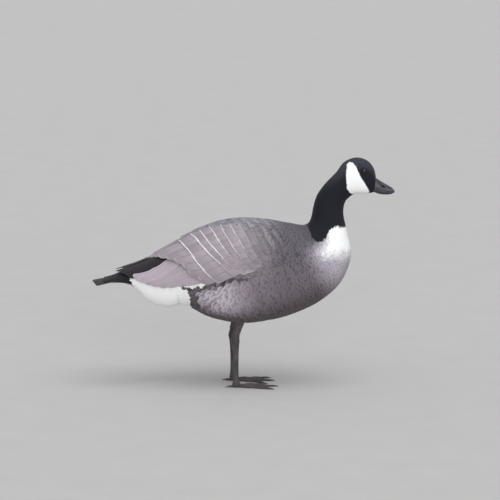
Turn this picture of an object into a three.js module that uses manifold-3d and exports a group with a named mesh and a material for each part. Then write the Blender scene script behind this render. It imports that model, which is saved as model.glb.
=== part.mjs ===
// A Canada goose standing at rest, as a still life-size model, in millimetres.
// +X is forward to the bill, +Y is the bird's left and +Z is up. The soles stand on z = 0.

import * as THREE from "three";
import { mergeVertices } from "three/addons/utils/BufferGeometryUtils.js";
import Module from "manifold-3d";

const wasm = await Module();
wasm.setup();

// The body is one surface from the tail tip to the root of the bill. Each station is a plane across it:
// its point on the back line, its point on the belly line, both as [x, z], its half width, and how far
// its widest place lies below the middle, as a share of its half depth.
const STATIONS = [
  { name: "tail tip", back: [-317, 222], belly: [-317, 216], half: 38, waist: 0 },
  { name: "tail middle", back: [-284, 229], belly: [-280, 218], half: 31, waist: 0 },
  { name: "tail root", back: [-246, 243], belly: [-237, 212], half: 32, waist: 0 },
  { name: "vent", back: [-212, 256], belly: [-200, 178], half: 46, waist: 0 },
  { name: "rump", back: [-174, 275], belly: [-158, 165], half: 60, waist: -0.05 },
  { name: "loin", back: [-132, 299], belly: [-111, 173], half: 74, waist: -0.1 },
  { name: "hip", back: [-90, 324], belly: [-63, 150], half: 83, waist: -0.12 },
  { name: "middle back", back: [-40, 343], belly: [-4, 135], half: 88, waist: -0.12 },
  { name: "shoulder blade", back: [10, 350], belly: [57, 138], half: 89, waist: -0.1 },
  { name: "shoulder", back: [57, 349], belly: [113, 154], half: 86, waist: -0.08 },
  { name: "crop", back: [94, 344], belly: [166, 181], half: 79, waist: -0.05 },
  { name: "breast", back: [122, 339], belly: [207, 220], half: 67, waist: 0 },
  { name: "neck base", back: [136, 343], belly: [227, 273], half: 53, waist: 0 },
  { name: "low neck", back: [143, 357], belly: [220, 320], half: 38, waist: 0 },
  { name: "middle neck", back: [147, 378], belly: [211, 362], half: 31, waist: 0 },
  { name: "high neck", back: [155, 403], belly: [214, 387], half: 27.5, waist: 0 },
  { name: "throat", back: [172, 427], belly: [225, 400], half: 25.5, waist: 0 },
  { name: "nape", back: [194, 450], belly: [234, 405], half: 25, waist: -0.1 },
  { name: "hindcrown", back: [211, 472], belly: [244, 406], half: 25.5, waist: -0.25 },
  { name: "crown", back: [235, 482], belly: [255, 406], half: 25, waist: -0.3 },
  { name: "forecrown", back: [258, 477], belly: [265, 407], half: 22.5, waist: -0.25 },
  { name: "forehead", back: [273, 461], belly: [271, 408], half: 17.5, waist: -0.15 },
  { name: "bill root", back: [279, 439], belly: [275, 408.5], half: 12.2, waist: -0.05 },
];
const FULLNESS = 0.92; // below 1 the cross sections are fuller than an ellipse

const GAP = 0.3; // clearance between pieces that touch
const INTO_BODY = 2; // how deep a form is drawn into the body before it is cut clear of it
const MM_PER_STATION = 43; // along the side of the body, between the vent and the shoulder
const station = (name) => STATIONS.findIndex((s) => s.name === name);

// Where the body is parted, in stations
const TAIL_ROOT = station("tail root");
const NECK_ROOT = station("neck base") + 0.45;
const NECK_MIDDLE = station("middle neck") + 0.4;
const HEAD_ROOT = station("throat") + 0.35;
const BILL_ROOT = station("bill root");

const RING_SIDES = 26; // facets round the torso and neck
const TORSO_RINGS = 20;
const TAIL_SIDES = 14;
const NECK_RINGS = 5;
const HEAD_RINGS = 17;

// Folded wings. At each place u along the body: how far down the body the wing's upper and lower edges
// lie, in radians, and how thick its core is.
const WING_LINE = [
  { u: 1.4, upper: 0.12, lower: 1.3, bulk: 0.3 },
  { u: 2.3, upper: 0.1, lower: 1.37, bulk: 1 },
  { u: 3, upper: 0.08, lower: 1.42, bulk: 3.5 },
  { u: 3.7, upper: 0.07, lower: 1.55, bulk: 6.5 },
  { u: 4.4, upper: 0.07, lower: 1.62, bulk: 9 },
  { u: 5.1, upper: 0.08, lower: 1.66, bulk: 10 },
  { u: 5.9, upper: 0.13, lower: 1.6, bulk: 9.5 },
  { u: 6.7, upper: 0.2, lower: 1.46, bulk: 8.5 },
  { u: 7.5, upper: 0.3, lower: 1.4, bulk: 7.5 },
  { u: 8.3, upper: 0.42, lower: 1.35, bulk: 6.5 },
  { u: 9, upper: 0.57, lower: 1.27, bulk: 4.5 },
  { u: 9.6, upper: 0.8, lower: 1.05, bulk: 0.5 },
];
const WING_RIM = 0.8; // thickness of the core at its rim
const CORE_AT_TOP = 0.6; // share of the core's thickness at the wing's upper edge
const CORE_AT_EDGE = 0.2; // and at its lower edge
const CORE_FULL = 0.25; // where from the upper edge on it is full
const CORE_EDGE_ROUND = 5;
const CORE_REAR = 2.4;
const CORE_FRONT = 9.6;
const CORE_ROWS = 10;
const CORE_COLUMNS = 5;

// Feather vanes: the places from root to tip, and the share of the half width at each
const VANE_THICKNESS = 0.7;
const VANE_PLACES = [0, 0.5, 0.86, 1];
const VANE_WIDTHS = [0.3, 1, 0.92, 0.5];
const ROOT_SINK = 1.5; // how deep the roots lie in the core

// The flight feathers, from the black primaries along the top of the rump to the brown secondaries down
// its side: how far down the wing's width each lies, from 0 to 1, and the place of its tip.
const FLIGHT = [
  { q: 0.08, tip: 1.68, half: 7 },
  { q: 0.17, tip: 1.78, half: 7 },
  { q: 0.26, tip: 1.93, half: 7.5 },
  { q: 0.35, tip: 2.1, half: 8 },
  { q: 0.45, tip: 2.25, half: 9.5 },
  { q: 0.55, tip: 2.5, half: 10 },
  { q: 0.65, tip: 2.85, half: 10 },
  { q: 0.75, tip: 3.3, half: 10 },
  { q: 0.84, tip: 3.85, half: 10 },
  { q: 0.92, tip: 4.5, half: 9.5 },
];
const FLIGHT_LENGTH = 88;
const FLIGHT_LIFT = 2.6; // how far the lowest one's tip stands off the core
const FLIGHT_LAYER = 0.6; // how much further each one above it does
const FLIGHT_ROLL = 2.3;

// Rows of overlapping feathers over the wing, from the long tertials forward. Each row's tips start at
// u = tips on the back and come forward by slope down to the lower edge. Each feather's tip stands off
// the core by lift, and it is tilted by roll over the one below it.
const ROWS = [
  { tips: 3.8, slope: 1.95, length: 84, half: 14.5, count: 6, reach: 0.94, lift: 5.8, roll: 1.9 },
  { tips: 4.95, slope: 1.55, length: 52, half: 14.5, count: 6, reach: 0.94, lift: 4.6, roll: 1.9 },
  { tips: 5.5, slope: 1.5, length: 48, half: 14.5, count: 6, reach: 0.94, lift: 4.2, roll: 1.9 },
  { tips: 6.05, slope: 1.45, length: 46, half: 14, count: 6, reach: 0.93, lift: 4, roll: 2 },
  { tips: 6.65, slope: 1.4, length: 44, half: 13.5, count: 5, reach: 0.9, lift: 3.8, roll: 2 },
  { tips: 7.2, slope: 1.3, length: 40, half: 12.5, count: 5, reach: 0.86, lift: 3.5, roll: 2.2 },
];
const ROW_STARTS = [0.62, 0.36]; // the first feather's place in even and odd rows, so that they alternate
const ROW_UNEVEN = 0.04;

// Tail feathers: the pairs lie in layers, the middle pair on top
const TAIL_PAIRS = 7;
const TAIL_FEATHER_HALF = 9.5;
const TAIL_FEATHER_LENGTH = 71;
const TAIL_WIDTHS = [0.55, 0.85, 1, 0.55]; // at the vane's places, as shares of the half width
const TAIL_LAYER = 1;
const TAIL_TIP = [-317.5, 221];
const TAIL_FALL = 12; // from the roots down to the tips
const TAIL_ROOF = 0.12; // how steeply the tail falls away to each side
const TAIL_SHORTER = 1.4; // by how much each pair is shorter than the one above it
const TAIL_FIRST_ROOT = 3.2; // the middle pair's roots, from the middle plane
const TAIL_ROOT_STEP = 3.1; // and how much further out each pair's roots lie
const TAIL_FIRST_HEADING = 0.8; // degrees outwards
const TAIL_HEADING_STEP = 1.5;
const TAIL_CORE_REAR = station("tail middle") + 0.25;
const TAIL_CORE_STEPS = 2;

// Thighs, the rounded flank lobes that hide the upper legs
const THIGH_BULGE = 13;
const THIGH_RIM = 0.6;
const THIGH_REAR = station("loin") + 0.02;
const THIGH_FRONT = station("shoulder blade") + 0.1;
// Its upper edge, in radians down the body: at the rear it lies clear of the wing, then close below it
const THIGH_TOP = { rear: 1.95, front: 0.05, meets: 5.95 };
const THIGH_BOTTOM = 2.85;
const THIGH_ROWS = 9;
const THIGH_COLUMNS = 6;

// Legs
const LEG_SPREAD = 37; // from the middle plane to each leg
const RIGHT_LEG_X = -15;
const LEFT_LEG_X = -21.5;
const LEG_SECTIONS = [
  // height, how far forward of the foot joint, radius fore and aft, radius sideways
  { name: "in the belly", z: 165, ahead: 14, fore: 12, side: 11 },
  { name: "feathered shin", z: 138, ahead: 8, fore: 10, side: 9 },
  { name: "bare shin", z: 121, ahead: 3, fore: 7, side: 6 },
  { name: "above the ankle", z: 108, ahead: 0, fore: 7.5, side: 6.2 },
  { name: "ankle", z: 98, ahead: -1, fore: 8.6, side: 6.8 },
  { name: "below the ankle", z: 86, ahead: -0.5, fore: 7.2, side: 5.4 },
  { name: "middle shank", z: 55, ahead: 0, fore: 5.6, side: 4.3 },
  { name: "low shank", z: 24, ahead: 0, fore: 5.6, side: 4.6 },
  { name: "above the toes", z: 11.5, ahead: 0.5, fore: 7.2, side: 6.4 },
];
const LEG_SIDES = 10;
const LEG_CLEARANCE = 0.45; // from the thigh's facets

// Feet. Each toe is its length, its heading outwards in degrees and its half width at the root.
const FOOT_TOP = 11;
const TOES = [
  { name: "inner", length: 66, heading: -23, half: 4.6 },
  { name: "middle", length: 80, heading: -2, half: 5.2 },
  { name: "outer", length: 76, heading: 21, half: 4.8 },
];
const HIND_TOE = { length: 14, heading: 170, half: 3, height: 7 };
const TOE_SIDES = 5;
const TOE_STEPS = 6;
const TOE_END_HEIGHT = 4.2;
const TOE_NARROWING = 0.45; // share of its width that a toe loses towards the claw
const KNUCKLES = 3;
const KNUCKLE_SWELL = 0.1;
const CLAW_LENGTH = 9;
const CLAW_TIP = { z: 0.6, half: 0.9, high: 1.1 };
const FOOT_TURN = 2; // degrees that both feet turn inwards
const WEB_TOP = 2.3;
const WEB_UNDERSIDE = 0.8;
const WEB_ROOT = 0.05; // where the web starts, as a share of the toes' length
const WEB_REACH = 0.93;
const WEB_HOLLOW = 0.14; // how far its front edge draws back between the toes
const WEB_ROWS = 3;
const WEB_COLUMNS = 5;
const HEEL_RADII = [7, 8.2, 7.4];
const HEEL_HEIGHTS = [0, 4, FOOT_TOP];

// Bill: its top line, mouth line and under line as [x, z], from the plane where the head ends
const billRootX = (z) => {
  const { back, belly } = STATIONS.at(-1);
  return belly[0] + ((z - belly[1]) * (back[0] - belly[0])) / (back[1] - belly[1]) + GAP;
};
const CULMEN = [[billRootX(438.5), 438.5], [290, 431.5], [302.5, 424], [312.5, 418], [318, 412]];
const TOMIUM = [[billRootX(420), 420], [288, 416.5], [300, 412.8], [311, 409.8], [318, 408.6]];
const GONYS = [[billRootX(408.8), 408.8], [284, 405.4], [295, 403.8], [307, 404.2], [314.5, 406.6]];
const BILL_HALF = [12.3, 11.2, 10, 8.6, 3.2];
const MOUTH_GAP = 0.5;
const NOSTRIL_AT = [294, 422];
const NOSTRIL_LONG = 7.5;
const NOSTRIL_HIGH = 2.4;
const NOSTRIL_DEEP = 5; // from the middle plane to the floor of the slot
const NOSTRIL_SIDES = 10;
const BILL_STEPS = 12;
const BILL_ARC = 9; // points over the dome of each half of the bill
const BESIDE_BILL = 20; // clear of the bill sideways

// Eyes
const EYE_AT = [253, 456];
const EYE_RADIUS = 6;
const EYE_RINGS = 8;
const EYE_SIDES = 14;
const EYE_SEARCH = { from: 0.3, to: 1.8, step: 0.02 }; // angles and steps over the side of the head
const EYE_SHOWS = 2.2; // how far the eye stands out of the head
const LID_RING = 5.5; // radius of the lids' rim round the eye
const LID_THICK = 1.1;
const BROW_THICK = 0.5; // how much thicker the upper lid is
const LID_SIDES = 5;
const LID_STEPS = 16;
const LID_FACING = [0.12, 1, 0.22]; // the left eye's outlook

const BLACK_PLUMAGE = new THREE.MeshStandardMaterial({ color: 0x17151a, roughness: 0.8, metalness: 0 });
const BROWN_PLUMAGE = new THREE.MeshStandardMaterial({ color: 0x7f736c, roughness: 0.85, metalness: 0 });
const WING_PLUMAGE = new THREE.MeshStandardMaterial({ color: 0x80756e, roughness: 0.8, metalness: 0 });
const FLANK_PLUMAGE = new THREE.MeshStandardMaterial({ color: 0x8c8179, roughness: 0.85, metalness: 0 });
const TAIL_PLUMAGE = new THREE.MeshStandardMaterial({ color: 0x1a181a, roughness: 0.7, metalness: 0 });
const HORN = new THREE.MeshStandardMaterial({ color: 0x1c1b1e, roughness: 0.35, metalness: 0 });
const LEG_SKIN = new THREE.MeshStandardMaterial({ color: 0x25211f, roughness: 0.5, metalness: 0 });
const EYE_DARK = new THREE.MeshStandardMaterial({ color: 0x0d0907, roughness: 0.08, metalness: 0 });

// The value of one of the stations' sizes at any place u along the body, on a smooth curve through them.
function smooth(values, u) {
  const i = THREE.MathUtils.clamp(Math.floor(u), 0, values.length - 2);
  const [a, b, c, d] = [i - 1, i, i + 1, i + 2].map(
    (j) => values[THREE.MathUtils.clamp(j, 0, values.length - 1)],
  );
  const t = u - i;
  const slope = c - a;
  const second = 2 * a - 5 * b + 4 * c - d;
  const third = 3 * b - a - 3 * c + d;
  return 0.5 * (2 * b + slope * t + second * t ** 2 + third * t ** 3);
}

const BODY = {
  backX: STATIONS.map((s) => s.back[0]),
  backZ: STATIONS.map((s) => s.back[1]),
  bellyX: STATIONS.map((s) => s.belly[0]),
  bellyZ: STATIONS.map((s) => s.belly[1]),
  half: STATIONS.map((s) => s.half),
  waist: STATIONS.map((s) => s.waist),
};

// A point on the body's surface: u in stations, angle in radians down from the back line, positive to
// the bird's left.
function onBody(u, angle) {
  const size = Object.fromEntries(Object.entries(BODY).map(([key, list]) => [key, smooth(list, u)]));
  const up = Math.cos(angle);
  const height = up + size.waist * (1 - up * up);
  const across = Math.sin(angle);
  return new THREE.Vector3(
    (size.backX + size.bellyX) / 2 + ((size.backX - size.bellyX) / 2) * height,
    size.half * Math.sign(across) * Math.abs(across) ** FULLNESS,
    (size.backZ + size.bellyZ) / 2 + ((size.backZ - size.bellyZ) / 2) * height,
  );
}

// The same point lifted off the surface along its normal.
function offBody(u, angle, lift) {
  const step = 0.02;
  const along = onBody(u + step, angle).sub(onBody(u - step, angle));
  const round = onBody(u, angle + step).sub(onBody(u, angle - step));
  const normal = along.cross(round).normalize();
  return onBody(u, angle).addScaledVector(normal, lift);
}

// A closed body as a manifold, from its points and its triangles, turned outwards if they face in.
function closed(points, triangles) {
  const geometry = new THREE.BufferGeometry().setFromPoints(points);
  geometry.setIndex(triangles);
  const merged = mergeVertices(geometry, 1e-4);
  const index = merged.index.array;
  const kept = [];
  for (let i = 0; i < index.length; i += 3) {
    const [a, b, c] = [index[i], index[i + 1], index[i + 2]];
    if (a !== b && b !== c && a !== c) kept.push(a, b, c);
  }
  const vertProperties = new Float32Array(merged.attributes.position.array);
  const build = (triVerts) =>
    new wasm.Manifold(new wasm.Mesh({ numProp: 3, vertProperties, triVerts: new Uint32Array(triVerts) }));
  const made = build(kept);
  return made.volume() > 0 ? made : build(kept.reverse());
}

// A body through closed rings of points, with a flat or pointed cap at each end.
function loft(rings) {
  const sides = rings[0].length;
  const points = rings.flat();
  const triangles = [];
  for (let i = 0; i + 1 < rings.length; i++) {
    for (let j = 0; j < sides; j++) {
      const a = i * sides + j;
      const b = i * sides + ((j + 1) % sides);
      triangles.push(a, b, a + sides, b, b + sides, a + sides);
    }
  }
  const centre = (ring) => ring.reduce((sum, p) => sum.add(p), new THREE.Vector3()).divideScalar(sides);
  const last = (rings.length - 1) * sides;
  points.push(centre(rings[0]), centre(rings.at(-1)));
  for (let j = 0; j < sides; j++) {
    const next = (j + 1) % sides;
    triangles.push(points.length - 2, next, j);
    triangles.push(points.length - 1, last + j, last + next);
  }
  return closed(points, triangles);
}

// A plate between two surfaces over the same square of rows and columns, triangulated alike.
function slab(top, bottom, rows, columns) {
  const points = [];
  for (const surface of [top, bottom]) {
    for (let i = 0; i <= rows; i++) {
      for (let j = 0; j <= columns; j++) points.push(surface(i / rows, j / columns));
    }
  }
  const layer = (rows + 1) * (columns + 1);
  const at = (i, j) => i * (columns + 1) + j;
  const triangles = [];
  for (let i = 0; i < rows; i++) {
    for (let j = 0; j < columns; j++) {
      const [a, b, c, d] = [at(i, j), at(i, j + 1), at(i + 1, j), at(i + 1, j + 1)];
      triangles.push(a, b, d, a, d, c);
      triangles.push(layer + a, layer + d, layer + b, layer + a, layer + c, layer + d);
    }
  }
  const wall = (a, b) => triangles.push(a, layer + b, b, a, layer + a, layer + b);
  for (let j = 0; j < columns; j++) {
    wall(at(0, j), at(0, j + 1));
    wall(at(rows, j + 1), at(rows, j));
  }
  for (let i = 0; i < rows; i++) {
    wall(at(i + 1, 0), at(i, 0));
    wall(at(i, columns), at(i + 1, columns));
  }
  return closed(points, triangles);
}

// The largest closed surface of a solid, as a mesh with its own name and material.
function meshOf(name, solid, material) {
  const body = solid.decompose().sort((a, b) => b.volume() - a.volume())[0];
  const found = body.getMesh();
  const geometry = new THREE.BufferGeometry();
  geometry.setAttribute("position", new THREE.BufferAttribute(new Float32Array(found.vertProperties), 3));
  geometry.setIndex(new THREE.BufferAttribute(new Uint32Array(found.triVerts), 1));
  geometry.computeVertexNormals();
  const mesh = new THREE.Mesh(geometry, material);
  mesh.name = name;
  return mesh;
}

function bodyRing(u, sides, lift = 0) {
  return Array.from({ length: sides }, (_, j) => offBody(u, -Math.PI + (2 * Math.PI * j) / sides, lift));
}

// A length of the body between two places, parted from its neighbours by flat cuts.
function bodyLength(from, to, steps, sides, lift = 0, cut = GAP) {
  const rings = Array.from({ length: steps + 1 }, (_, i) =>
    bodyRing(THREE.MathUtils.lerp(from, to, i / steps), sides, lift),
  );
  const shifted = (ring, way) => {
    const across = ring[0].clone().sub(ring[sides / 2]);
    const normal = new THREE.Vector3(-across.z, 0, across.x).normalize();
    const forward = normal.dot(rings.at(-1)[0].clone().sub(rings[0][0])) > 0 ? 1 : -1;
    return ring.map((p) => p.clone().addScaledVector(normal, (way * forward * cut) / 2));
  };
  rings[0] = shifted(rings[0], 1);
  rings[rings.length - 1] = shifted(rings.at(-1), -1);
  return loft(rings);
}

const torso = () => bodyLength(TAIL_ROOT, NECK_ROOT, TORSO_RINGS, RING_SIDES);

// The same draws each time from one seed, each between -1 and 1.
function draws(seed) {
  let state = seed;
  return () => {
    state = (Math.imul(state, 1664525) + 1013904223) >>> 0;
    return state / 2 ** 31 - 1;
  };
}

// One of the wing's sizes at any place u along the body.
function wingValue(u, key) {
  const next = WING_LINE.findIndex((p) => p.u >= u);
  const i = next < 0 ? WING_LINE.length - 1 : Math.max(1, next);
  const [a, b] = [WING_LINE[i - 1], WING_LINE[i]];
  return smooth(WING_LINE.map((p) => p[key]), i - 1 + (u - a.u) / (b.u - a.u));
}

// The angle down the body at a share q of the way from the wing's upper edge to its lower one.
const wingAngle = (u, q) => THREE.MathUtils.lerp(wingValue(u, "upper"), wingValue(u, "lower"), q);

const wingShare = (u, angle) => {
  const upper = wingValue(u, "upper");
  return (angle - upper) / (wingValue(u, "lower") - upper);
};

// The core's height over the body, fullest inside its edges.
function coreHeight(u, q) {
  const inner = THREE.MathUtils.lerp(CORE_AT_TOP, 1, THREE.MathUtils.smoothstep(q, 0, CORE_FULL));
  const outer = THREE.MathUtils.lerp(1, CORE_AT_EDGE, THREE.MathUtils.clamp(q, 0, 1) ** CORE_EDGE_ROUND);
  return WING_RIM + Math.max(0, wingValue(u, "bulk")) * inner * outer;
}

// A feather's vane on the wing, from its root at s = 0 to its tip at s = 1. Its middle line keeps its
// share q of the wing's width, and it follows the body's curve at the height that lift gives.
function vane({ tip, root, q, half, lift, roll }) {
  const step = 0.02;
  const frame = (s) => {
    const u = THREE.MathUtils.lerp(root, tip, s);
    const angle = wingAngle(u, q);
    const alongU = onBody(u + step, angle).sub(onBody(u - step, angle)).divideScalar(2 * step);
    const alongAngle = onBody(u, angle + step).sub(onBody(u, angle - step)).divideScalar(2 * step);
    const turn = (wingAngle(u - step, q) - wingAngle(u + step, q)) / (2 * step);
    const forward = alongAngle.clone().multiplyScalar(turn).sub(alongU).normalize();
    const down = alongU.clone().cross(alongAngle).normalize().cross(forward).negate();
    const [uu, ua, aa] = [alongU.dot(alongU), alongU.dot(alongAngle), alongAngle.dot(alongAngle)];
    const [du, da] = [down.dot(alongU), down.dot(alongAngle)];
    const det = uu * aa - ua * ua;
    return { u, angle, byU: (du * aa - da * ua) / det, byAngle: (da * uu - du * ua) / det };
  };
  const frames = VANE_PLACES.map(frame);
  const surface = (drop) => (i, j) => {
    const k = Math.round(i * (VANE_PLACES.length - 1));
    const across = (2 * j - 1) * VANE_WIDTHS[k];
    const u = frames[k].u + across * half * frames[k].byU;
    const angle = frames[k].angle + across * half * frames[k].byAngle;
    const rest = coreHeight(u, wingShare(u, angle));
    return offBody(u, angle, rest + lift(VANE_PLACES[k]) + across * roll - drop);
  };
  return slab(surface(0), surface(VANE_THICKNESS), VANE_PLACES.length - 1, 2);
}

// A lift from the root's depth in the core to a height at the tip.
const rising = (height) => (s) => THREE.MathUtils.lerp(-ROOT_SINK, height, s);

function wingRow(row, number, draw) {
  return Array.from({ length: row.count }, (_, k) => {
    const q = ((k + ROW_STARTS[number % 2]) / row.count) * row.reach;
    const tip = row.tips + row.slope * q + ROW_UNEVEN * draw();
    const root = tip + (row.length * (1 + ROW_UNEVEN * draw())) / MM_PER_STATION;
    return vane({ tip, root, q, half: row.half, lift: rising(row.lift), roll: row.roll });
  });
}

function flightFeathers(draw) {
  return FLIGHT.map(({ q, tip, half }, k) => {
    const end = tip + ROW_UNEVEN * draw();
    const lift = rising(FLIGHT_LIFT + FLIGHT_LAYER * (FLIGHT.length - 1 - k));
    return vane({ tip: end, root: end + FLIGHT_LENGTH / MM_PER_STATION, q, half, lift, roll: FLIGHT_ROLL });
  });
}

function mirrored(solid) {
  const found = solid.getMesh();
  const points = [];
  for (let i = 0; i < found.vertProperties.length; i += 3) {
    const [x, y, z] = found.vertProperties.subarray(i, i + 3);
    points.push(new THREE.Vector3(x, -y, z));
  }
  return closed(points, Array.from(found.triVerts));
}

// One folded wing: a core from the rump to the bend, with its feathers rooted in it.
function wing(side) {
  const draw = draws(side > 0 ? 11 : 29);
  const surface = (height) => (i, j) => {
    const u = THREE.MathUtils.lerp(CORE_REAR, CORE_FRONT, i);
    return offBody(u, wingAngle(u, j), height(u, j));
  };
  const core = slab(surface(coreHeight), surface(() => -INTO_BODY), CORE_ROWS, CORE_COLUMNS);
  const rows = ROWS.flatMap((row, number) => wingRow(row, number, draw));
  const pieces = [core, ...flightFeathers(draw), ...rows];
  const whole = wasm.Manifold.union(pieces);
  return side > 0 ? whole : mirrored(whole);
}

// One of the tail's vanes, on the left for side 1, where layer counts the thicknesses above the lowest.
function tailVane(pair, side, length, layer) {
  const heading = THREE.MathUtils.degToRad(TAIL_FIRST_HEADING + TAIL_HEADING_STEP * pair);
  const rootX = TAIL_TIP[0] + TAIL_FEATHER_LENGTH;
  const rootY = TAIL_FIRST_ROOT + TAIL_ROOT_STEP * pair;
  const surface = (drop) => (i, j) => {
    const k = Math.round(i * (VANE_PLACES.length - 1));
    const s = VANE_PLACES[k];
    const across = (2 * j - 1) * TAIL_FEATHER_HALF * TAIL_WIDTHS[k];
    const y = rootY + length * s * Math.sin(heading) + across * Math.cos(heading);
    return new THREE.Vector3(
      rootX - length * s * Math.cos(heading) - across * Math.sin(heading),
      side * y,
      TAIL_TIP[1] + (1 - s) * TAIL_FALL + layer - TAIL_ROOF * y - drop,
    );
  };
  return slab(surface(0), surface(VANE_THICKNESS), VANE_PLACES.length - 1, 2);
}

// The tail: a short wedge of coverts with the tail feathers rooted in it.
function tail() {
  const draw = draws(5);
  const pieces = [bodyLength(TAIL_CORE_REAR, TAIL_ROOT, TAIL_CORE_STEPS, TAIL_SIDES)];
  for (let pair = 0; pair < TAIL_PAIRS; pair++) {
    for (const side of [-1, 1]) {
      const length = TAIL_FEATHER_LENGTH - TAIL_SHORTER * pair + draw();
      const onTop = pair === 0 && side > 0;
      pieces.push(tailVane(pair, side, length, onTop ? TAIL_LAYER : -TAIL_LAYER * pair));
    }
  }
  return wasm.Manifold.union(pieces);
}

// A thigh's lobe below the wing, fullest behind and above its middle.
function thighForm(side, grown = 0) {
  const place = (i, j) => {
    const longer = grown / MM_PER_STATION;
    const u = THREE.MathUtils.lerp(THIGH_REAR - longer, THIGH_FRONT + longer, i);
    const wider = grown / smooth(BODY.half, u);
    const apart = THREE.MathUtils.clamp((THIGH_TOP.meets - u) / (THIGH_TOP.meets - THIGH_REAR), 0, 1);
    const top = THREE.MathUtils.lerp(wingAngle(u, 1) + THIGH_TOP.front, THIGH_TOP.rear, apart) - wider;
    return [u, side * THREE.MathUtils.lerp(top, THIGH_BOTTOM + wider, j)];
  };
  const bulge = (i, j) => {
    const along = Math.sin(Math.PI * i ** 0.6);
    const across = Math.sin(Math.PI * j ** 1.3);
    return THIGH_RIM + THIGH_BULGE * Math.max(0, along * across) ** 0.6;
  };
  const over = (i, j) => offBody(...place(i, j), GAP + bulge(i, j) + grown);
  const under = (i, j) => offBody(...place(i, j), -INTO_BODY);
  return slab(over, under, THIGH_ROWS, THIGH_COLUMNS);
}

function leg(side, x) {
  const rings = LEG_SECTIONS.map((s) =>
    Array.from({ length: LEG_SIDES }, (_, j) => {
      const turn = (2 * Math.PI * j) / LEG_SIDES;
      return new THREE.Vector3(
        x + s.ahead + s.fore * Math.cos(turn),
        side * LEG_SPREAD + s.side * Math.sin(turn),
        s.z,
      );
    }),
  );
  return loft(rings);
}

// A half ring standing on the floor, for the toes and claws.
function arch(x, floor, half, high) {
  return Array.from({ length: TOE_SIDES }, (_, j) => {
    const turn = (Math.PI * j) / (TOE_SIDES - 1);
    return new THREE.Vector3(x, half * Math.cos(turn), floor + high * Math.sin(turn));
  });
}

// A toe along +X with its knuckles, its claw and a flat sole.
function toeForm({ length, half, height = FOOT_TOP - 1 }) {
  const rings = [];
  for (let i = 0; i <= TOE_STEPS; i++) {
    const s = i / TOE_STEPS;
    const knuckle = 1 + KNUCKLE_SWELL * Math.cos(2 * Math.PI * KNUCKLES * s);
    const high = THREE.MathUtils.lerp(height, TOE_END_HEIGHT, Math.sqrt(s)) * knuckle;
    rings.push(arch(s * length, 0, half * (1 - TOE_NARROWING * s) * knuckle, high));
  }
  rings.push(arch(length + CLAW_LENGTH, CLAW_TIP.z, CLAW_TIP.half, CLAW_TIP.high));
  return loft(rings);
}

// A toe's heading on one side's foot, in degrees.
const toeHeading = (side, toe) => side * (toe.heading - FOOT_TURN);

// The web between two neighbouring toes.
function web(side, toes) {
  const at = (s, q, z) => {
    const reach = WEB_REACH - WEB_HOLLOW * Math.sin(Math.PI * q);
    const along = THREE.MathUtils.lerp(WEB_ROOT, reach, s);
    const [inner, outer] = toes.map((toe) => {
      const heading = THREE.MathUtils.degToRad(toeHeading(side, toe));
      return new THREE.Vector3(Math.cos(heading), Math.sin(heading), 0).multiplyScalar(along * toe.length);
    });
    return inner.lerp(outer, q).setZ(z);
  };
  return slab((s, q) => at(s, q, WEB_TOP), (s, q) => at(s, q, WEB_UNDERSIDE), WEB_ROWS, WEB_COLUMNS);
}

function heelPad() {
  return loft(
    HEEL_HEIGHTS.map((z, i) =>
      Array.from({ length: LEG_SIDES }, (_, j) => {
        const turn = (2 * Math.PI * j) / LEG_SIDES;
        return new THREE.Vector3(HEEL_RADII[i] * Math.cos(turn), HEEL_RADII[i] * Math.sin(turn), z);
      }),
    ),
  );
}

// One webbed foot, with its leg's axis at x.
function foot(side, x) {
  const toes = [...TOES, HIND_TOE].map((toe) => toeForm(toe).rotate([0, 0, toeHeading(side, toe)]));
  const webs = [web(side, [TOES[0], TOES[1]]), web(side, [TOES[1], TOES[2]])];
  return wasm.Manifold.union([heelPad(), ...toes, ...webs]).translate([x, side * LEG_SPREAD, 0]);
}

// Half a bill: a dome between its ridge line and its flat mouth line.
function billHalf(ridge, mouth, widths, lift) {
  const rings = [];
  for (let i = 0; i <= BILL_STEPS; i++) {
    const u = (i / BILL_STEPS) * (widths.length - 1);
    const at = (line, k) => smooth(line.map((p) => p[k]), u);
    const half = smooth(widths, u);
    const from = [at(mouth, 0), at(mouth, 1) + lift];
    const to = [at(ridge, 0), at(ridge, 1)];
    rings.push(
      Array.from({ length: BILL_ARC }, (_, j) => {
        const turn = (Math.PI * j) / (BILL_ARC - 1);
        const rise = Math.sin(turn);
        return new THREE.Vector3(
          THREE.MathUtils.lerp(from[0], to[0], rise),
          half * Math.cos(turn),
          THREE.MathUtils.lerp(from[1], to[1], rise),
        );
      }),
    );
  }
  return loft(rings);
}

function eyeball(centre, radius) {
  const rings = [];
  for (let i = 0; i <= EYE_RINGS; i++) {
    const fall = (Math.PI * i) / EYE_RINGS;
    rings.push(
      Array.from({ length: EYE_SIDES }, (_, j) => {
        const turn = (2 * Math.PI * j) / EYE_SIDES;
        return new THREE.Vector3(
          centre.x + radius * Math.sin(fall) * Math.cos(turn),
          centre.y + radius * Math.cos(fall),
          centre.z + radius * Math.sin(fall) * Math.sin(turn),
        );
      }),
    );
  }
  return loft(rings);
}

// Where the head's surface is at the eye, for one side.
function eyeCentre(side) {
  let best = null;
  for (let u = station("nape"); u < BILL_ROOT; u += EYE_SEARCH.step) {
    for (let angle = EYE_SEARCH.from; angle < EYE_SEARCH.to; angle += EYE_SEARCH.step) {
      const p = onBody(u, side * angle);
      const miss = Math.hypot(p.x - EYE_AT[0], p.z - EYE_AT[1]);
      if (!best || miss < best.miss) best = { miss, p };
    }
  }
  return new THREE.Vector3(best.p.x, best.p.y - side * (EYE_RADIUS - EYE_SHOWS), best.p.z);
}

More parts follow.
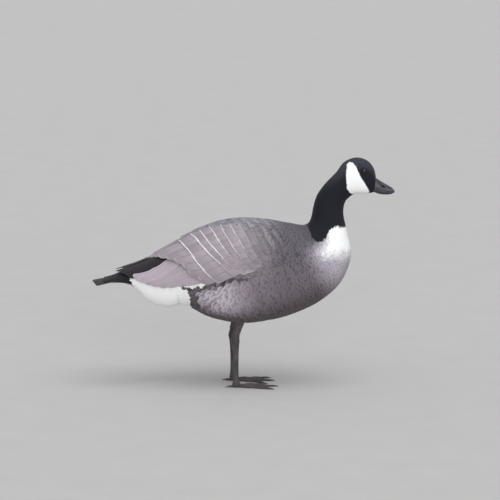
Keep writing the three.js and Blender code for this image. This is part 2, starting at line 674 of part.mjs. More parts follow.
// The rim of the lids: a ring round the eye, in the head's surface there, thicker above.
function lids(side, centre) {
  const out = new THREE.Vector3(...LID_FACING).multiply(new THREE.Vector3(1, side, 1)).normalize();
  const up = new THREE.Vector3(0, 0, 1).addScaledVector(out, -out.z).normalize();
  const ahead = up.clone().cross(out);
  const seat = centre.clone().addScaledVector(out, EYE_RADIUS - EYE_SHOWS);
  const points = [];
  const triangles = [];
  for (let i = 0; i < LID_STEPS; i++) {
    const turn = (2 * Math.PI * i) / LID_STEPS;
    const radial = ahead.clone().multiplyScalar(Math.cos(turn)).addScaledVector(up, Math.sin(turn));
    const thick = LID_THICK + BROW_THICK * Math.max(0, Math.sin(turn));
    for (let j = 0; j < LID_SIDES; j++) {
      const around = (2 * Math.PI * j) / LID_SIDES;
      const reach = LID_RING + thick * Math.cos(around);
      points.push(seat.clone().addScaledVector(radial, reach).addScaledVector(out, thick * Math.sin(around)));
      const [next, ring] = [(j + 1) % LID_SIDES, ((i + 1) % LID_STEPS) * LID_SIDES];
      const at = i * LID_SIDES;
      triangles.push(at + j, at + next, ring + j, at + next, ring + next, ring + j);
    }
  }
  return closed(points, triangles);
}

// A nostril's slot, cut through one wall of the upper bill.
function nostril(side) {
  const [x, z] = NOSTRIL_AT;
  const tilt = Math.atan2(CULMEN[2][1] - CULMEN[1][1], CULMEN[2][0] - CULMEN[1][0]);
  const rings = [NOSTRIL_DEEP, BESIDE_BILL].map((y) =>
    Array.from({ length: NOSTRIL_SIDES }, (_, j) => {
      const turn = (2 * Math.PI * j) / NOSTRIL_SIDES;
      const [along, high] = [(NOSTRIL_LONG / 2) * Math.cos(turn), (NOSTRIL_HIGH / 2) * Math.sin(turn)];
      return new THREE.Vector3(
        x + along * Math.cos(tilt) - high * Math.sin(tilt),
        side * y,
        z + along * Math.sin(tilt) + high * Math.cos(tilt),
      );
    }),
  );
  return loft(rings);
}

const goose = new THREE.Group();
// What the wings, thighs and legs keep clear of.
const bodyClearance = wasm.Manifold.union([
  bodyLength(TAIL_ROOT, NECK_ROOT, TORSO_RINGS, RING_SIDES, GAP, 0),
  bodyLength(TAIL_CORE_REAR, TAIL_ROOT, TAIL_CORE_STEPS, TAIL_SIDES, GAP, 0),
]);

goose.add(meshOf("torso", torso(), BROWN_PLUMAGE));
goose.add(meshOf("tail", tail(), TAIL_PLUMAGE));
goose.add(meshOf("neck_lower", bodyLength(NECK_ROOT, NECK_MIDDLE, NECK_RINGS, RING_SIDES), BLACK_PLUMAGE));
goose.add(meshOf("neck_upper", bodyLength(NECK_MIDDLE, HEAD_ROOT, NECK_RINGS, RING_SIDES), BLACK_PLUMAGE));

let head = bodyLength(HEAD_ROOT, BILL_ROOT, HEAD_RINGS, RING_SIDES);
for (const [name, side] of [["right", -1], ["left", 1]]) {
  const centre = eyeCentre(side);
  head = head.add(lids(side, centre)).subtract(eyeball(centre, EYE_RADIUS + GAP));
  goose.add(meshOf(`eye_${name}`, eyeball(centre, EYE_RADIUS), EYE_DARK));
}
goose.add(meshOf("head", head, BLACK_PLUMAGE));
const upperBill = billHalf(CULMEN, TOMIUM, BILL_HALF, MOUTH_GAP / 2);
goose.add(meshOf("bill_upper", upperBill.subtract(nostril(-1)).subtract(nostril(1)), HORN));
goose.add(meshOf("bill_lower", billHalf(GONYS, TOMIUM, BILL_HALF, -MOUTH_GAP / 2), HORN));

for (const [name, side, x] of [["right", -1, RIGHT_LEG_X], ["left", 1, LEFT_LEG_X]]) {
  goose.add(meshOf(`wing_${name}`, wing(side).subtract(bodyClearance), WING_PLUMAGE));
  goose.add(meshOf(`thigh_${name}`, thighForm(side).subtract(bodyClearance), FLANK_PLUMAGE));
  const thighClearance = thighForm(side, LEG_CLEARANCE);
  goose.add(meshOf(`leg_${name}`, leg(side, x).subtract(bodyClearance).subtract(thighClearance), LEG_SKIN));
  goose.add(meshOf(`foot_${name}`, foot(side, x), LEG_SKIN));
}

export default goose;
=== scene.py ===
# The looks of a Canada goose that stands at rest: one skin under feathers, in metres.
# +X is forward to the bill, +Y is the bird's left and +Z is up. The soles stand on z = 0.

import math
from types import SimpleNamespace as Sizes

import bpy
import numpy as np
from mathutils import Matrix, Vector
from mathutils.kdtree import KDTree

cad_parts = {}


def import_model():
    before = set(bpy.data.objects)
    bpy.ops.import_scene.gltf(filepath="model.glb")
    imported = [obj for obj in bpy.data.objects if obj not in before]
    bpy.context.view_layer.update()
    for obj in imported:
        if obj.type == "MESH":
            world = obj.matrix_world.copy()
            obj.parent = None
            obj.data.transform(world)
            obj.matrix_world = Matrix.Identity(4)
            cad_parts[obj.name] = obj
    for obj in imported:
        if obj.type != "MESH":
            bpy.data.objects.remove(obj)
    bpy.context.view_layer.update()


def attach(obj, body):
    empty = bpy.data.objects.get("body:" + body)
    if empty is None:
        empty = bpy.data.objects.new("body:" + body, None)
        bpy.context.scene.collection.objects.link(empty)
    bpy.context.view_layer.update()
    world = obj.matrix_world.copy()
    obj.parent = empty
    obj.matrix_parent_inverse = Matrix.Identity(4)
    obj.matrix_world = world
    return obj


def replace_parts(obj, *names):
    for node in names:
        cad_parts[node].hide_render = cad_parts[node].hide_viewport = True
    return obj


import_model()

MM = 0.001
SEED = 7
SIDES = {"right": -1, "left": 1}


def named(columns, *rows):
    """The rows of a table, each with its columns' names."""
    return [Sizes(**dict(zip(columns.split(), row))) for row in rows]


# The body is one surface from the tail tip to the root of the bill. Each station is a plane across it:
# its point on the back line, its point on the belly line, both as (x, z), its half width, and how far
# its widest place lies below the middle, as a share of its half depth. Lengths are in millimetres.
STATIONS = [
    ("tail tip", (-317, 222), (-317, 216), 38, 0),
    ("tail middle", (-284, 229), (-280, 218), 31, 0),
    ("tail root", (-246, 243), (-237, 212), 32, 0),
    ("vent", (-212, 256), (-200, 178), 46, 0),
    ("rump", (-174, 275), (-158, 165), 60, -0.05),
    ("loin", (-132, 299), (-111, 173), 74, -0.1),
    ("hip", (-90, 324), (-63, 150), 83, -0.12),
    ("middle back", (-40, 343), (-4, 135), 88, -0.12),
    ("shoulder blade", (10, 350), (57, 138), 89, -0.1),
    ("shoulder", (57, 349), (113, 154), 86, -0.08),
    ("crop", (94, 344), (166, 181), 79, -0.05),
    ("breast", (122, 339), (207, 220), 67, 0),
    ("neck base", (136, 343), (227, 273), 53, 0),
    ("low neck", (143, 357), (220, 320), 38, 0),
    ("middle neck", (147, 378), (211, 362), 31, 0),
    ("high neck", (155, 403), (214, 387), 27.5, 0),
    ("throat", (172, 427), (225, 400), 25.5, 0),
    ("nape", (194, 450), (234, 405), 25, -0.1),
    ("hindcrown", (211, 472), (244, 406), 25.5, -0.25),
    ("crown", (235, 482), (255, 406), 25, -0.3),
    ("forecrown", (258, 477), (265, 407), 22.5, -0.25),
    ("forehead", (273, 461), (271, 408), 17.5, -0.15),
    ("bill root", (279, 439), (275, 408.5), 12.2, -0.05),
]
FULLNESS = 0.92
BODY = np.array([(*back, *belly, half, 0) for _, back, belly, half, _ in STATIONS], float) * MM
BODY[:, 5] = [waist for *_, waist in STATIONS]

# Folded wings. At each place u along the body: how far down the body the wing's upper and lower edges
# lie, in radians, and how thick its core is, in millimetres.
WING_LINE = np.array([
    (1.4, 0.12, 1.3, 0.3),
    (2.3, 0.1, 1.37, 1),
    (3, 0.08, 1.42, 3.5),
    (3.7, 0.07, 1.55, 6.5),
    (4.4, 0.07, 1.62, 9),
    (5.1, 0.08, 1.66, 10),
    (5.9, 0.13, 1.6, 9.5),
    (6.7, 0.2, 1.46, 8.5),
    (7.5, 0.3, 1.4, 7.5),
    (8.3, 0.42, 1.35, 6.5),
    (9, 0.57, 1.27, 4.5),
    (9.6, 0.8, 1.05, 0.5),
])
WING_RIM = 0.0008
STATION_LENGTH = 0.043  # along the side of the body
BACK_BLEND = 0.030  # how far the wing's height runs out over the back
EDGE_SOFTNESS = [(5.6, 0.003), (7.2, 0.035)]  # how far it runs out below the wing, by place u
# Its thickness across: the share of it at its upper edge, where down the wing it is full, how much of it is
# lost at its lower edge and how late
WING_FORM = Sizes(top=0.6, full_by=0.25, lost=0.8, power=5)

# The flank's rounded lobe over the thigh. Its upper edge lies clear of the wing at the rear, then close
# below it, and both edges are in radians down the body.
THIGH_BULGE = 0.0125
THIGH_PLACES = (5.02, 8.1)
THIGH_TOP = Sizes(rear=1.95, front=0.05, meets=5.95)
THIGH_BOTTOM = 2.85
THIGH_FORM = Sizes(along=0.6, down=1.3, dome=0.6)  # powers, below 1 where the dome is full

# Depth of the coat over the skin, by place u
COAT_DEPTH = [
    (1.2, 0.0016), (3, 0.0022), (4.5, 0.0026), (5.4, 0.004), (10, 0.004), (12.5, 0.0026), (16, 0.0016),
    (19, 0.0011), (22, 0.0008),
]
WING_COAT = 0.0018

# Colours of the plumage, as linear light
WHITE = (0.93, 0.93, 0.93)
WING_BROWN = (0.35, 0.299, 0.336)
FLIGHT_BROWN = (0.44, 0.38, 0.425)
WING_TIP = (0.82, 0.78, 0.82)
BACK_BROWN = (0.205, 0.195, 0.225)
RUMP_BROWN = (0.27, 0.235, 0.262)
MANTLE_BROWN = (0.088, 0.077, 0.094)
SHOULDER_BROWN = (0.21, 0.182, 0.205)
FLANK_BROWN = (0.148, 0.122, 0.146)
# dark rear flank feathers, and the painted shade and shadow on the flank
FLANK_DARK_AND_SHADOW = (0.075, 0.06, 0.07)
FLANK_PALE = (0.32, 0.275, 0.32)
# brown belly, darkened further as painted shade under the body; the shins' feathers share it
SHADED_BELLY_BROWN = (0.068, 0.053, 0.058)
BREAST_GREY = (0.385, 0.353, 0.408)
FRINGE = (0.42, 0.38, 0.41)
NECK_BLACK = (0.012, 0.012, 0.019)
# the neck's black made lighter and bluer: painted sky sheen on the crown
CROWN_SKY_SHEEN = (0.047, 0.049, 0.067)
FLIGHT_BLACK = (0.013, 0.009, 0.013)
TAIL_BLACK = (0.02, 0.018, 0.02)
TAIL_BROWN = (0.038, 0.033, 0.031)

# Lower margin of the black neck: at each angle down from the back line, its place u
NECK_MARGIN = [
    (0, 11.75), (0.42, 11.64), (0.9, 11.3), (1.15, 11.36), (1.3, 11.9), (1.57, 12.9), (1.95, 13.25),
    (3.15, 13.4),
]
HEAD_FROM = 15.5  # from this place u on, the body's surface is the head
# Upper margin of the flank under the wing: at each place u, its angle down from the back line
FLANK_TOP = [(4.6, 1.78), (5.1, 1.76), (5.5, 1.73), (6.0, 1.6), (6.7, 1.48), (8.3, 1.38)]
# How far down from there the wing's shadow is painted on the flank
SHADE_WIDTH = [(5.6, 0.24), (6.6, 0.15), (7.4, 0.09)]
# The flank's dark rear rim, darker feathers with painted shade where the lobe's edge stands over the white:
# at each angle down, where it starts behind and ends in front, as places u
RIM_START = [(1.68, 4.7), (1.85, 4.85), (2.0, 5.08), (2.86, 5.16)]
RIM_END = [(1.9, 5.28), (2.1, 5.36), (2.5, 5.58), (2.75, 6.3), (2.95, 7.3)]
# Lower margin of the white breast: at each angle down, its place u
BREAST_WHITE = [(1.5, 11.05), (1.64, 11.15), (1.9, 11.5), (2.2, 11.85), (2.7, 12.05)]
# The white behind the flanks and round the tail's root, and the black next to it, as places u and angles down
VENT = Sizes(rear=2.12, under_tail=0.6, top=1.2, band_front=2.6, band_low=1.3, wedge=(3, 5.95))
RUMP = Sizes(front=3.6, low=1.2, tail_low=2.4)
# The mantle's pale bars: the place u of one on the back line, their spacing, how u grows down along them, and
# how much they are lightened and what lies between them is darkened
MANTLE_BARS = Sizes(first=7.3, pitch=0.42, slope=0.75, pale=0.26, dark=0.1)
# A body feather's edge is lighter than the rest of it by the factor gain and by lift. strength is how much of
# that shows, on_bars what the flank's bars add, in_dark what its dark takes away, and white how pale they are
EDGE = Sizes(gain=1.6, lift=0.05, strength=0.45, on_bars=0.15, in_dark=0.7, white=0.5)
SHADED = Sizes(flank=0.2, breast=0.25)  # how much the flank's front and the low breast are darkened
# Where colours and layers give way to each other, by place u, angle down or share of the wing's width: not at
# all up to the first value, and wholly from the second on
TURNS = {
    "flank": (1.2, 1.7),
    "flank front": (8, 9),
    "belly": (1.85, 2.55),
    "mantle": (7.8, 9.3),
    "rump": (4.0, 6.6),
    "back side": (0.25, 0.6),
    "back front": (8, 10),
    "bars rear": (5.4, 6.2),
    "bars front": (8.8, 9.7),
    "bars side": (0.8, 1.1),
    "bar": (-0.5, 0.9),
    "flank top": (-0.02, 0.02),
    "flank rear": (4.6, 4.8),
    "rim": (0, 0.25),
    "shade front": (7.3, 8.2),
    "pale front": (6.6, 7.9),
    "pale low": (1.95, 2.4),
    "flank bars front": (6.4, 7.2),
    "flank bars low": (2.0, 2.4),
    "under tail": (2.3, 2.8),
    "breast": (9.9, 11.3),
    "breast side": (0.95, 1.4),
    "breast low": (2.1, 2.8),
    "white breast": (-0.4, 0.5),
    "white side": (1.25, 1.6),
    "neck": (-0.05, 0.05),
    "crown_sheen": (15, 18),
    "cap side": (0.5, 1.2),
    "cheek": (-0.0008, 0.0008),
    "wing rear": (1.4, 2),
    "wing front": (7.5, 9),
    "wing top": (-0.1, 0.1),
    "wing low": (0.9, 1.05),
    "relief rear": (1.2, 2),
    "relief front": (9.1, 10),
    "between wings": (0.3, 0.5),
    "between rear": (3.4, 4.4),
    "between front": (8.6, 9.8),
    "over wing low": (0.9, 1.1),
    "over wing rear": (7.0, 7.6),
    "over wing front": (8.9, 9.8),
    "shoulder": (7.2, 8.2),
}
# How far borders are broken up along the feathers, in places u, radians or metres
RAGGED = Sizes(flank=0.03, breast=0.15, breast_side=0.05, vent=0.04, neck=0.05, cheek=0.0008)
# Outline of the white cheek, as (x, z) in millimetres
CHEEK = [
    (217, 469), (222, 474), (230, 472), (236, 465), (240, 456), (246, 443), (256, 428), (264, 413),
    (262, 401), (238, 402), (224, 409), (217, 420), (215, 446),
]


def smooth(values, u):
    """Values on a smooth curve through the rows of a table, at any places u."""
    last = len(values) - 1
    i = np.clip(np.floor(u).astype(int), 0, last - 1)
    a, b, c, d = (values[np.clip(i + k, 0, last)] for k in (-1, 0, 1, 2))
    t = (u - i)[..., None]
    return 0.5 * (2 * b + (c - a) * t + (2 * a - 5 * b + 4 * c - d) * t**2 + (3 * b - a - 3 * c + d) * t**3)


def on_body(u, angle):
    """Points on the body: u in stations, angle in radians down from the back line, positive to the left."""
    back_x, back_z, belly_x, belly_z, half, waist = np.moveaxis(smooth(BODY, u), -1, 0)
    up = np.cos(angle)
    height = up + waist * (1 - up * up)
    across = np.sin(angle)
    x = (back_x + belly_x) / 2 + (back_x - belly_x) / 2 * height
    z = (back_z + belly_z) / 2 + (back_z - belly_z) / 2 * height
    return np.stack([x, half * np.sign(across) * np.abs(across) ** FULLNESS, z], -1)


def unit(vectors):
    return vectors / np.maximum(np.linalg.norm(vectors, axis=-1, keepdims=True), 1e-12)


def tangents(surface, u, angle, step=0.02):
    """How a surface's point moves with u and with the angle."""
    along = (surface(u + step, angle) - surface(u - step, angle)) / (2 * step)
    around = (surface(u, angle + step) - surface(u, angle - step)) / (2 * step)
    return along, around


def off_surface(surface, u, angle, height):
    along, around = tangents(surface, u, angle)
    return surface(u, angle) + unit(np.cross(along, around)) * height[..., None]


def soft(value, low, high):
    """0 up to low, 1 from high on, and a smooth step between."""
    t = np.clip((value - low) / (high - low), 0, 1)
    return t * t * (3 - 2 * t)


def past(name, value):
    """How far colours or layers have given way at one of the turns."""
    return soft(value, *TURNS[name])


def before(name, value):
    return 1 - past(name, value)


def by_place(table, u):
    return np.interp(u, *zip(*table))


def mix(share, a, b):
    share = np.asarray(share)[..., None]
    return (1 - share) * np.asarray(a, float) + share * np.asarray(b, float)


def wing_line(u):
    """The wing's upper edge, lower edge and thickness at places u."""
    index = np.interp(u, WING_LINE[:, 0], np.arange(len(WING_LINE)))
    upper, lower, bulk = np.moveaxis(smooth(WING_LINE[:, 1:], index), -1, 0)
    return upper, lower, np.maximum(bulk, 0) * MM


def wing_share(u, angle):
    upper, lower, _ = wing_line(u)
    return (np.abs(angle) - upper) / (lower - upper)


def wing_relief(u, angle):
    """How far the folded wing stands over the body."""
    upper, lower, bulk = wing_line(u)
    down = np.abs(angle)
    q = np.clip((down - upper) / (lower - upper), 0, 1)
    full = WING_FORM.top + (1 - WING_FORM.top) * soft(q, 0, WING_FORM.full_by)
    height = WING_RIM + bulk * full * (1 - WING_FORM.lost * q ** WING_FORM.power)
    half = smooth(BODY, u)[..., 4]
    above = 1 - soft((upper - down) * half, 0, BACK_BLEND)
    below = 1 - soft((down - lower) * half / by_place(EDGE_SOFTNESS, u), 0, 1)
    return height * above * below * past("relief rear", u) * before("relief front", u)


def thigh_top(u):
    _, lower, _ = wing_line(u)
    near = lower + THIGH_TOP.front
    apart = np.clip((THIGH_TOP.meets - u) / (THIGH_TOP.meets - THIGH_PLACES[0]), 0, 1)
    return near + (THIGH_TOP.rear - near) * apart


def thigh_relief(u, angle):
    """How far the flank's rounded lobe stands over the body."""
    rear, front = THIGH_PLACES
    i = np.clip((u - rear) / (front - rear), 0, 1)
    top = thigh_top(u)
    j = np.clip((np.abs(angle) - top) / (THIGH_BOTTOM - top), 0, 1)
    dome = np.sin(np.pi * i ** THIGH_FORM.along) * np.sin(np.pi * j ** THIGH_FORM.down)
    return THIGH_BULGE * np.clip(dome, 0, 1) ** THIGH_FORM.dome


def rest(u, angle):
    """The height over the body's plain surface of the coat's own outer face."""
    return wing_relief(u, angle) + thigh_relief(u, angle)


def inside_outline(outline, x, z):
    """Signed distances to a closed outline, above 0 inside it."""
    points = np.asarray(outline, float) * MM
    nearest = np.full(x.shape, np.inf)
    inside = np.zeros(x.shape, bool)
    for (ax, az), (bx, bz) in zip(points, np.roll(points, -1, axis=0)):
        t = np.clip(((x - ax) * (bx - ax) + (z - az) * (bz - az)) / ((bx - ax) ** 2 + (bz - az) ** 2), 0, 1)
        nearest = np.minimum(nearest, np.hypot(x - ax - t * (bx - ax), z - az - t * (bz - az)))
        crosses = (az > z) != (bz > z)
        inside ^= crosses & (x < ax + (z - az) * (bx - ax) / np.where(bz == az, 1, bz - az))
    return np.where(inside, nearest, -nearest)


def markings(u, angle, ragged):
    """The plumage's colour, its feathers' edge colour and how strong that edge is, at places on the body.
    ragged is a draw from -1 to 1 for each place, which breaks the borders up along the feathers."""
    down = np.abs(angle)
    low = past("flank", down)
    mantle = mix(past("mantle", u), SHOULDER_BROWN, MANTLE_BROWN)
    tone = mix(low, mantle, FLANK_BROWN) * (1 - SHADED.flank * past("flank front", u) * low)[..., None]
    tone = mix(past("belly", down), tone, SHADED_BELLY_BROWN)
    back = mix(past("rump", u), RUMP_BROWN, BACK_BROWN)
    tone = mix(before("back side", down) * before("back front", u), tone, back)
    bar, among = mantle_bars(u, down)
    tone = tone * (1 - MANTLE_BARS.dark * among * (1 - bar))[..., None]
    tone = mix(MANTLE_BARS.pale * among * bar, tone, FRINGE)
    # dark is the rim's dark feathers with painted shade, and the painted shadow under the wing
    pale, dark, bars = rear_flank(u + RAGGED.flank * ragged, down)
    tone = mix(dark, mix(pale, tone, FLANK_PALE), FLANK_DARK_AND_SHADOW)
    strength = (EDGE.strength + EDGE.on_bars * bars) * (1 - EDGE.in_dark * dark)
    # the low breast, which faces down, is darkened as painted shade
    grey = past("breast", u) * past("breast side", down) * (1 - SHADED.breast * past("breast low", down))
    tone = mix(grey, tone, BREAST_GREY)
    edge = mix(EDGE.white * bars, EDGE.gain * tone + EDGE.lift, WING_TIP)
    white = past("white breast", u + RAGGED.breast * ragged - by_place(BREAST_WHITE, down))
    white = white * past("white side", down + RAGGED.breast_side * ragged)
    rear = u + RAGGED.vent * ragged
    white = np.maximum(white, white_vent(rear, down))
    patches = [(white, WHITE), (black_rump(rear, down), TAIL_BLACK), *black_neck(u, angle, ragged)]
    for share, colour in patches:
        tone = mix(share, tone, colour)
        edge = mix(share, edge, colour)
    return tone, edge, strength


def mantle_bars(u, down):
    """How far places lie on the pale bars across the mantle, and how far they lie among them."""
    turn = (u - MANTLE_BARS.slope * down - MANTLE_BARS.first) / MANTLE_BARS.pitch
    among = past("bars rear", u) * before("bars front", u) * before("bars side", down)
    return past("bar", np.cos(2 * np.pi * turn)), among


def rear_flank(u, down):
    """How far places lie in the pale rear of the flank, in its dark rim with painted shade, in the painted
    shadow under the wing and among its pale bars.
    """
    below = down - by_place(FLANK_TOP, u)
    side = past("flank top", below) * past("flank rear", u)
    rim = side * before("rim", u - by_place(RIM_END, down))
    width = by_place(SHADE_WIDTH, u)
    # painted shadow of the wing's lower edge on the flank below it
    shade = side * (1 - soft(below, width / 3, width)) * before("shade front", u)
    pale = side * before("pale front", u) * before("pale low", down)
    bars = side * before("flank bars front", u) * before("flank bars low", down)
    return pale, np.maximum(rim, shade), bars


def white_vent(u, down):
    """The white behind the flanks, under the tail, between flank and wing and across the tail's root."""
    rear = VENT.rear - VENT.under_tail * past("under tail", down)
    behind = (u < by_place(RIM_START, down)) & (u > rear)
    wedge = (u > VENT.wedge[0]) & (u < VENT.wedge[1]) & (down < by_place(FLANK_TOP, u))
    band = (u > VENT.rear) & (u < VENT.band_front) & (down < VENT.band_low)
    return np.where(((behind | wedge) & (down > VENT.top)) | band, 1.0, 0.0)


def black_rump(u, down):
    """The black rump, and the dark feathers at the tail's root."""
    rump = (u > VENT.band_front) & (u < RUMP.front) & (down < RUMP.low)
    return np.where(rump | ((u < VENT.rear) & (down < RUMP.tail_low)), 1.0, 0.0)


def black_neck(u, angle, ragged):
    """The black of neck and head, with painted sky sheen on the crown, and the white of the cheeks: the share
    and the colour of each.
    """
    point = on_body(u, angle)
    down = np.abs(angle)
    neck = past("neck", u + RAGGED.neck * ragged - by_place(NECK_MARGIN, down))
    # painted sky sheen over the top of the head
    crown_sheen = past("crown_sheen", u) * before("cap side", down)
    patch = inside_outline(CHEEK, point[..., 0], point[..., 2]) + RAGGED.cheek * ragged
    cheek = np.where(u > HEAD_FROM, past("cheek", patch), 0)
    return (neck, NECK_BLACK), (neck * crown_sheen, CROWN_SKY_SHEEN), (cheek, WHITE)


def on_wing(u, angle):
    """1 on the folded wing and 0 off it, with soft edges."""
    share = wing_share(u, angle)
    across = past("wing top", share) * before("wing low", share)
    return across * before("wing front", u) * past("wing rear", u)


def coat_depth(u, angle):
    depth = by_place(COAT_DEPTH, u)
    return depth + (WING_COAT - depth) * on_wing(u, angle)


# Meshes

# How many places each form has along it, and then round or across it
GRIDS = Sizes(
    shank=(240, 32), toe=(90, 20), claw=(14, 12), web=(30, 25), upper_bill=(190, 160), lower_bill=(90, 48),
    eye=(90, 48), lid=(72, 16),
)
SKIN_ROUND = 180
SPREAD_ROUND = 721  # places round the body that its girth is measured through
# Rows and columns of each kind of vane
VANES = Sizes(covert=(24, 11), flight=(34, 9), tail=(30, 9), shin=(6, 3))
# How much closer its rows lie towards its tip: evenly for 1
TIP_ROWS = Sizes(small=1.5, covert=2.2, flight=1.7, tail=1.6)


def quads(rows, columns, around=False, along=False):
    """Faces of a grid of points, closed to a ring around its columns or along its rows."""
    last_row, last_column = (rows if along else rows - 1), (columns if around else columns - 1)
    i, j = np.meshgrid(np.arange(last_row), np.arange(last_column), indexing="ij")
    down, right = (i + 1) % rows, (j + 1) % columns
    corners = [i * columns + j, down * columns + j, down * columns + right, i * columns + right]
    return np.stack(corners, -1).reshape(-1, 4)


def facing_out(points, faces):
    """The faces of a closed form, turned over where they face inwards."""
    a, b, c, d = (points[faces[:, k]] for k in range(4))
    volume = (a * (np.cross(b, c) + np.cross(c, d))).sum()
    return faces if volume > 0 else faces[:, ::-1]


def tube(rings):
    """Points and faces of a closed form through rings of points, with its ends filled in."""
    rows, columns = rings.shape[:2]
    points = np.concatenate([rings.reshape(-1, 3), [rings[0].mean(0), rings[-1].mean(0)]])
    j = np.arange(0, columns, 2)
    one, two = (j + 1) % columns, (j + 2) % columns
    base = (rows - 1) * columns
    first = np.stack([np.full(len(j), rows * columns), two, one, j], -1)
    last = np.stack([np.full(len(j), rows * columns + 1), base + j, base + one, base + two], -1)
    faces = np.concatenate([quads(rows, columns, around=True), first, last])
    return points, facing_out(points, faces)


def ring_grid(along, count, start=0.0):
    """Places along a form and angles round it, as two grids."""
    return np.meshgrid(along, np.linspace(start, start + 2 * np.pi, count, endpoint=False), indexing="ij")


def tube_grid(first, last, size):
    """The same for even places from the first to the last."""
    return ring_grid(np.linspace(first, last, size[0]), size[1])


def joined(parts):
    """Several forms' points and faces as one."""
    starts = np.cumsum([0] + [len(points) for points, _ in parts[:-1]])
    faces = [faces + start for (_, faces), start in zip(parts, starts)]
    return np.concatenate([points for points, _ in parts]), np.concatenate(faces)


def in_scene(name, data):
    obj = bpy.data.objects.new(name, data)
    bpy.context.scene.collection.objects.link(obj)
    return obj


def piece(name, points, faces, material, slot, colours=None, maps=None):
    """A mesh object with its colour attributes and its maps, both given by vertex."""
    mesh = bpy.data.meshes.new(name)
    mesh.vertices.add(len(points))
    mesh.vertices.foreach_set("co", np.ascontiguousarray(points, np.float32).ravel())
    mesh.loops.add(faces.size)
    mesh.loops.foreach_set("vertex_index", faces.astype(np.int32).ravel())
    mesh.polygons.add(len(faces))
    mesh.polygons.foreach_set("loop_start", np.arange(0, faces.size, 4, dtype=np.int32))
    mesh.update(calc_edges=True)
    mesh.polygons.foreach_set("use_smooth", np.ones(len(faces), bool))
    for key, values in (colours or {}).items():
        layer = mesh.attributes.new(key, "FLOAT_COLOR", "POINT")
        layer.data.foreach_set("color", np.ascontiguousarray(values, np.float32).ravel())
    for key, values in (maps or {}).items():
        layer = mesh.uv_layers.new(name=key)
        layer.data.foreach_set("uv", np.ascontiguousarray(values[faces.ravel()], np.float32).ravel())
    mesh.materials.append(material)
    obj = in_scene(name, mesh)
    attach(obj, "root")
    return obj


def with_alpha(colour, alpha):
    return np.concatenate([colour, np.broadcast_to(alpha, colour.shape[:-1])[..., None]], -1)


LAST_PLACE = 22  # the bill's root, as place u
MAP_MARGIN = 0.02  # what stays free at each side of a map
ISLAND_MARGIN = 0.06  # and of each feather's square on it
ROOT_SPOT = 0.003  # the size of a small feather on its map


def skin_map(u, angle):
    """The skin's unwrap, along and round the body."""
    wide = 1 - 2 * MAP_MARGIN
    return np.stack([MAP_MARGIN + wide * u / LAST_PLACE, 0.5 + wide * angle / (2 * np.pi)], -1)


# Feathers
ROOT_FULL_BY = 0.5  # where along it a vane has its full width
TIP_LEAST = 0.08  # the narrowest a vane gets, as a share of its widest


def outline(s, root_width, round_from, squareness):
    """A vane's half width from its root to its tip, as a share of its widest."""
    root = root_width + (1 - root_width) * soft(s, 0, ROOT_FULL_BY)
    tip = (1 - np.clip((s - round_from) / (1 - round_from), 0, 1) ** squareness) ** (1 / squareness)
    return root * np.maximum(tip, TIP_LEAST)


def steps(surface, u, angle, ways):
    """How u and angle change for each metre gone along the surface in some directions."""
    along, around = tangents(surface, u, angle)
    e, f, g = ((a * b).sum(-1) for a, b in ((along, along), (along, around), (around, around)))
    by_u, by_angle = ((ways * v).sum(-1) for v in (along, around))
    det = e * g - f * f
    return (by_u * g - by_angle * f) / det, (by_angle * e - by_u * f) / det


def vanes(surface, base, u, angle, across, height, stiff, ahead=0.0):
    """Points of many vanes. u and angle are their middle lines over a surface, (vanes, rows). across is
    each point's distance to the side and height its height over the base, (vanes, rows, columns).
    ahead moves points on towards the tip, as shares of the vane's length."""
    normal = unit(np.cross(*tangents(surface, u, angle)))
    side = unit(np.cross(normal, np.gradient(surface(u, angle), axis=1)))
    step_u, step_angle = steps(surface, u, angle, side)
    at_u = u[..., None] + across * step_u[..., None] + ahead * (u[:, -1:] - u[:, :1])[..., None]
    at_angle = angle[..., None] + across * step_angle[..., None]
    at_angle = at_angle + ahead * (angle[:, -1:] - angle[:, :1])[..., None]
    under = base(at_u, at_angle)
    root = base(u[:, :1, None], angle[:, :1, None])
    under = under + stiff * np.maximum(root - under, 0)
    return off_surface(surface, at_u, at_angle, under + height)


class Feathers:
    """Feathers of one kind, gathered and then made into one piece."""

    def __init__(self, rows, columns, shape, tip_rows):
        self.s = 1 - (1 - np.linspace(0, 1, rows)) ** tip_rows
        self.t = np.linspace(-1, 1, columns)
        self.width = outline(self.s, *shape)
        self.parts = []

    def add(self, points, tone, edge, strength, places):
        """Vanes with their colours, given for each vane or for each of its rows."""
        colours = [with_alpha(tone, strength), with_alpha(edge, 1.0)]
        colours = [c if c.ndim == 3 else c[:, None] for c in colours]
        each = (*points.shape[:2], 4)
        self.parts.append((points, *[np.broadcast_to(c, each) for c in colours], places))

    def make(self, name, material, slot, islands=False):
        points, tone, edge, places = (np.concatenate(p) for p in zip(*self.parts))
        count, rows, columns = points.shape[:3]
        faces = quads(rows, columns)[None] + (np.arange(count) * rows * columns)[:, None, None]
        s, t = np.meshgrid(self.s, self.t, indexing="ij")
        vane = np.broadcast_to(np.stack([(t + 1) / 2, s], -1), (count, rows, columns, 2))
        if islands:
            side = math.ceil(math.sqrt(count))
            cell = np.stack([np.arange(count) % side, np.arange(count) // side], -1)
            bake = (cell[:, None, None] + ISLAND_MARGIN + (1 - 2 * ISLAND_MARGIN) * vane) / side
        else:
            bake = places[:, None, None] + ROOT_SPOT * (vane - 0.5)
        each = (count, rows, columns, 4)
        colours = {
            "tone": np.broadcast_to(tone[:, :, None], each).reshape(-1, 4),
            "edge": np.broadcast_to(edge[:, :, None], each).reshape(-1, 4),
        }
        maps = {"Vane": vane.reshape(-1, 2), "OFBake": bake.reshape(-1, 2)}
        return piece(name, points.reshape(-1, 3), faces.reshape(-1, 4), material, slot, colours, maps)


